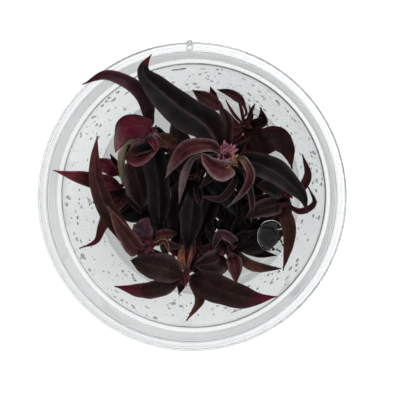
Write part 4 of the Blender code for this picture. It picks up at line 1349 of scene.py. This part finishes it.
class PLANTLETS_OT_add_young_leaves(bpy.types.Operator):
    """Add the young leaves that crowd round each shoot tip."""

    bl_idname = "plantlets.add_young_leaves"
    bl_label = "Add Young Leaves"

    def execute(self, context):
        plants = context.scene.plantlet_plants
        finishes = leaf_finishes()
        groups = {}
        for order, shoot in enumerate(SHOOTS):
            route = stem_route(bearer_of(shoot), STEM_FINE_STEPS)
            growth = (route[-1] - route[-2]).normalized()
            first = growth.orthogonal().normalized()
            chance = random.Random(order)
            heart = route[-1] + Vector(shoot.heart) * MM - growth * 0.8 * MM
            for index in range(shoot.leaves):
                inner = index / max(1, shoot.leaves - 1)
                lean = YOUNG_LEAN - INNER_LEAN * inner + chance.uniform(-LEAN_CHANGE, LEAN_CHANGE)
                length = shoot.length * MM * (1 - 0.25 * inner) * chance.uniform(*YOUNG_SIZE)
                out = Matrix.Rotation(index * GOLDEN_ANGLE, 3, growth) @ first
                apart = Vector((out.x * shoot.spread[0], out.y * shoot.spread[1], 0)) * MM
                start = heart + apart * (1 - inner) * chance.uniform(0.4, 1.0) + growth * inner * 1.4 * MM
                heading = growth * math.cos(math.radians(lean)) + out * math.sin(math.radians(lean))
                middle = start + heading * length * 0.5 + growth * length * 0.1
                end = start + heading * length + growth * length * chance.uniform(-0.3, 0.1)
                spine = smooth_route([route[-5], start, middle, end], 14)
                shade = shoot.tones[index % len(shoot.tones)]
                looks = Looks(shade, shade, shade, 0.5, 0.3, 0.25, 0.7, "blush")
                width = shoot.width * MM * chance.uniform(*YOUNG_SIZE)
                blade = add_blade("young_%d_%d" % (order, index), spine, width, 0.6, YOUNG_FOLD, 0, looks,
                                  plants, across=YOUNG_ACROSS, foot=YOUNG_FOOT)
                groups.setdefault((shoot.plantlet, shoot.slot), []).append(blade)
        for (bearer, slot), blades in groups.items():
            dress(join(blades, "young_leaves_" + bearer), finishes[slot], slot)
        return {"FINISHED"}


def add_beads(beads, cup):
    """All beads as one mesh: a flat, round dome is made once and copied to each place."""
    deselect_all()
    bpy.ops.mesh.primitive_uv_sphere_add(segments=10, ring_count=6, radius=0.5)
    dome = bpy.context.object
    bpy.ops.object.mode_set(mode="EDIT")
    bpy.ops.mesh.select_all(action="SELECT")
    bpy.ops.mesh.bisect(plane_co=(0, 0, -0.1), plane_no=(0, 0, 1), use_fill=True, clear_inner=True)
    bpy.ops.object.mode_set(mode="OBJECT")
    everything = bmesh.new()
    for bead in beads:
        angle = math.radians(bead.angle)
        height = bead.height * MM
        radius = inner_wall_radius(cup, height) - 0.02 * MM
        inward = Vector((-math.cos(angle), -math.sin(angle), 0.13)).normalized()
        across = Vector((-math.sin(angle), math.cos(angle), 0))
        upward = inward.cross(across) * -1
        turn = Matrix((across, upward, inward)).transposed().to_4x4()
        depth = min(bead.width, bead.tall) * 0.55
        size = Matrix.Diagonal((bead.width * MM, bead.tall * MM, depth * MM, 1))
        place = Vector((radius * math.cos(angle), radius * math.sin(angle), height))
        place += inward * 0.1 * depth * MM
        count = len(everything.verts)
        everything.from_mesh(dome.data)
        everything.verts.ensure_lookup_table()
        bmesh.ops.transform(everything, matrix=Matrix.Translation(place) @ turn @ size,
                            verts=everything.verts[count:])
    dome.data.clear_geometry()
    bmesh.ops.recalc_face_normals(everything, faces=everything.faces)
    everything.to_mesh(dome.data)
    everything.free()
    return named(dome, "condensation")


# The heights in mm between which the fine beads lie, how small the patches are that they leave dry,
# and how much fine beads outnumber larger ones
DEW_HEIGHTS = (17, 48)
DEW_PATCHES = 3.1
FINE_BEADS = 2.8


class PLANTLETS_OT_add_condensation(bpy.types.Operator):
    """Add the beads of water on the inside of the cup's lower wall."""

    bl_idname = "plantlets.add_condensation"
    bl_label = "Add Condensation"

    def execute(self, context):
        cup = context.scene.plantlet_cup
        settings = context.scene.plantlet_dew
        chance = random.Random(7)
        beads = list(BEADS)
        while len(beads) < settings.beads:
            angle = chance.uniform(0, 360)
            height = chance.uniform(*DEW_HEIGHTS)
            where = Vector((math.cos(math.radians(angle)), math.sin(math.radians(angle)), height / 25))
            if noise.noise(where * DEW_PATCHES) + chance.uniform(-0.35, 0.35) < 0:
                continue
            share = chance.random() ** FINE_BEADS
            width = (settings.smallest + (settings.largest - settings.smallest) * share) / MM
            beads.append(Bead(angle, height, width * chance.uniform(0.9, 1.3),
                              width * chance.uniform(0.9, 1.7)))
        dew = add_beads(beads, cup)
        smooth(dew, 60)
        # The beads' grey tint is painted shade
        dress(dew, wet_finish("water", settings.tint, WATER_IOR, 0.0), "cup")
        return {"FINISHED"}


# How bright the room is from the horizon (0) to straight above (1), how much its bright side adds, and
# where that is
ROOM_LEVELS = ((0.0, 0.62), (0.25, 1.0), (0.5, 1.9), (0.8, 1.9), (0.93, 0.7), (1.0, 0.35))
ROOM_TONE = (0.98, 1, 1.02)
ROOM_SHARE = 0.55
BRIGHT_SHARE = 2.4
BRIGHT_SIDE = (0.55, 0.45, 0.70)


def soft_light(scene, strength):
    """A white room of soft light: brightest halfway up, dimmer overhead and at the horizon."""
    world = bpy.data.worlds.new("soft_light")
    world.use_nodes = True
    tree = world.node_tree
    direction = coordinates(tree, "Generated")
    parts = node(tree, "ShaderNodeSeparateXYZ", {0: direction}).outputs
    ramp = node(tree, "ShaderNodeValToRGB", {0: parts[2]})
    stops = ramp.color_ramp.elements
    stops.remove(stops[1])
    for index, (place, value) in enumerate(ROOM_LEVELS):
        stop = stops[0] if index == 0 else stops.new(place)
        stop.position = place
        stop.color = (*(value * part for part in ROOM_TONE), 1)
    toward = measured(tree, "DOT_PRODUCT", direction, Vector(BRIGHT_SIDE).normalized())
    bright = maths(tree, "POWER", ranged(tree, toward, 0.1, 1.0), 2.0)
    level = maths(tree, "ADD", maths(tree, "MULTIPLY", bright, BRIGHT_SHARE), ROOM_SHARE)
    level = maths(tree, "MULTIPLY", level, strength)
    feed(tree, tree.nodes["Background"], {"Color": ramp.outputs[0], "Strength": level})
    scene.world = world


FLOOR_SIZE = 60
FLOOR_DROP = 0.2 * MM

# The photograph's middle lies this far off the camera's axis, as a share of its width
PHOTO_SHIFT = (-0.08, -0.0775)

# Light passes many clear walls here before it leaves the cup
LIGHT_BOUNCES = 32


class PLANTLETS_OT_add_stage(bpy.types.Operator):
    """Add the pale floor, the soft light and the camera."""

    bl_idname = "plantlets.add_stage"
    bl_label = "Add Stage"

    def execute(self, context):
        settings = context.scene.plantlet_stage
        deselect_all()
        bpy.ops.mesh.primitive_plane_add(size=FLOOR_SIZE, location=(0, 0, -FLOOR_DROP))
        floor = named(bpy.context.object, "floor")
        put_place_in_mesh(floor)
        material, tree, shader = new_finish("pale_floor")
        feed(tree, shader, {
            "Base Color": (*settings.floor_tone, 1),
            "Roughness": 0.9,
            "Specular IOR Level": 0.1,
            "Emission Color": (1, 1, 1, 1),
            "Emission Strength": settings.glow,
        })
        floor.data.materials.append(material)
        soft_light(context.scene, settings.light)
        bpy.ops.object.camera_add(location=(settings.camera_x, settings.camera_y, settings.camera_height),
                                  rotation=(0, 0, 0))
        camera = named(bpy.context.object, "camera")
        camera.data.lens = settings.lens
        camera.data.sensor_width = 36
        camera.data.shift_x, camera.data.shift_y = PHOTO_SHIFT
        camera.data.clip_start = 0.01
        context.scene.camera = camera
        context.scene.view_settings.view_transform = "Standard"
        context.scene.cycles.max_bounces = LIGHT_BOUNCES
        context.scene.cycles.transmission_bounces = LIGHT_BOUNCES
        return {"FINISHED"}


class PLANTLETS_PT_panel(bpy.types.Panel):
    """Settings and steps of the cup of plantlets."""

    bl_idname = "PLANTLETS_PT_panel"
    bl_label = "Plantlets in a Cup"
    bl_space_type = "VIEW_3D"
    bl_region_type = "UI"
    bl_category = "Plantlets"

    def draw(self, context):
        for group, attribute in SETTINGS.items():
            box = self.layout.box()
            box.label(text=group.__doc__)
            for name in group.__annotations__:
                box.prop(getattr(context.scene, attribute), name)
        for step in STEPS:
            self.layout.operator(step.bl_idname)


SETTINGS = {
    CupSettings: "plantlet_cup",
    GelSettings: "plantlet_gel",
    PlantSettings: "plantlet_plants",
    DewSettings: "plantlet_dew",
    StageSettings: "plantlet_stage",
}
STEPS = (
    PLANTLETS_OT_add_stage,
    PLANTLETS_OT_add_cup,
    PLANTLETS_OT_add_gel,
    PLANTLETS_OT_add_gel_drop,
    PLANTLETS_OT_add_stems,
    PLANTLETS_OT_add_leaves,
    PLANTLETS_OT_add_small_leaves,
    PLANTLETS_OT_add_leaf_pairs,
    PLANTLETS_OT_add_young_leaves,
    PLANTLETS_OT_add_condensation,
)


def register():
    for group, attribute in SETTINGS.items():
        bpy.utils.register_class(group)
        setattr(bpy.types.Scene, attribute, PointerProperty(type=group))
    for step in STEPS:
        bpy.utils.register_class(step)
    bpy.utils.register_class(PLANTLETS_PT_panel)


def unregister():
    bpy.utils.unregister_class(PLANTLETS_PT_panel)
    for step in reversed(STEPS):
        bpy.utils.unregister_class(step)
    for group, attribute in SETTINGS.items():
        delattr(bpy.types.Scene, attribute)
        bpy.utils.unregister_class(group)


def main():
    register()
    bpy.ops.plantlets.add_stage()
    bpy.ops.plantlets.add_cup()
    bpy.ops.plantlets.add_gel()
    bpy.ops.plantlets.add_gel_drop()
    bpy.ops.plantlets.add_stems()
    bpy.ops.plantlets.add_leaves()
    bpy.ops.plantlets.add_small_leaves()
    bpy.ops.plantlets.add_leaf_pairs()
    bpy.ops.plantlets.add_young_leaves()
    bpy.ops.plantlets.add_condensation()


if __name__ == "__main__":
    main()
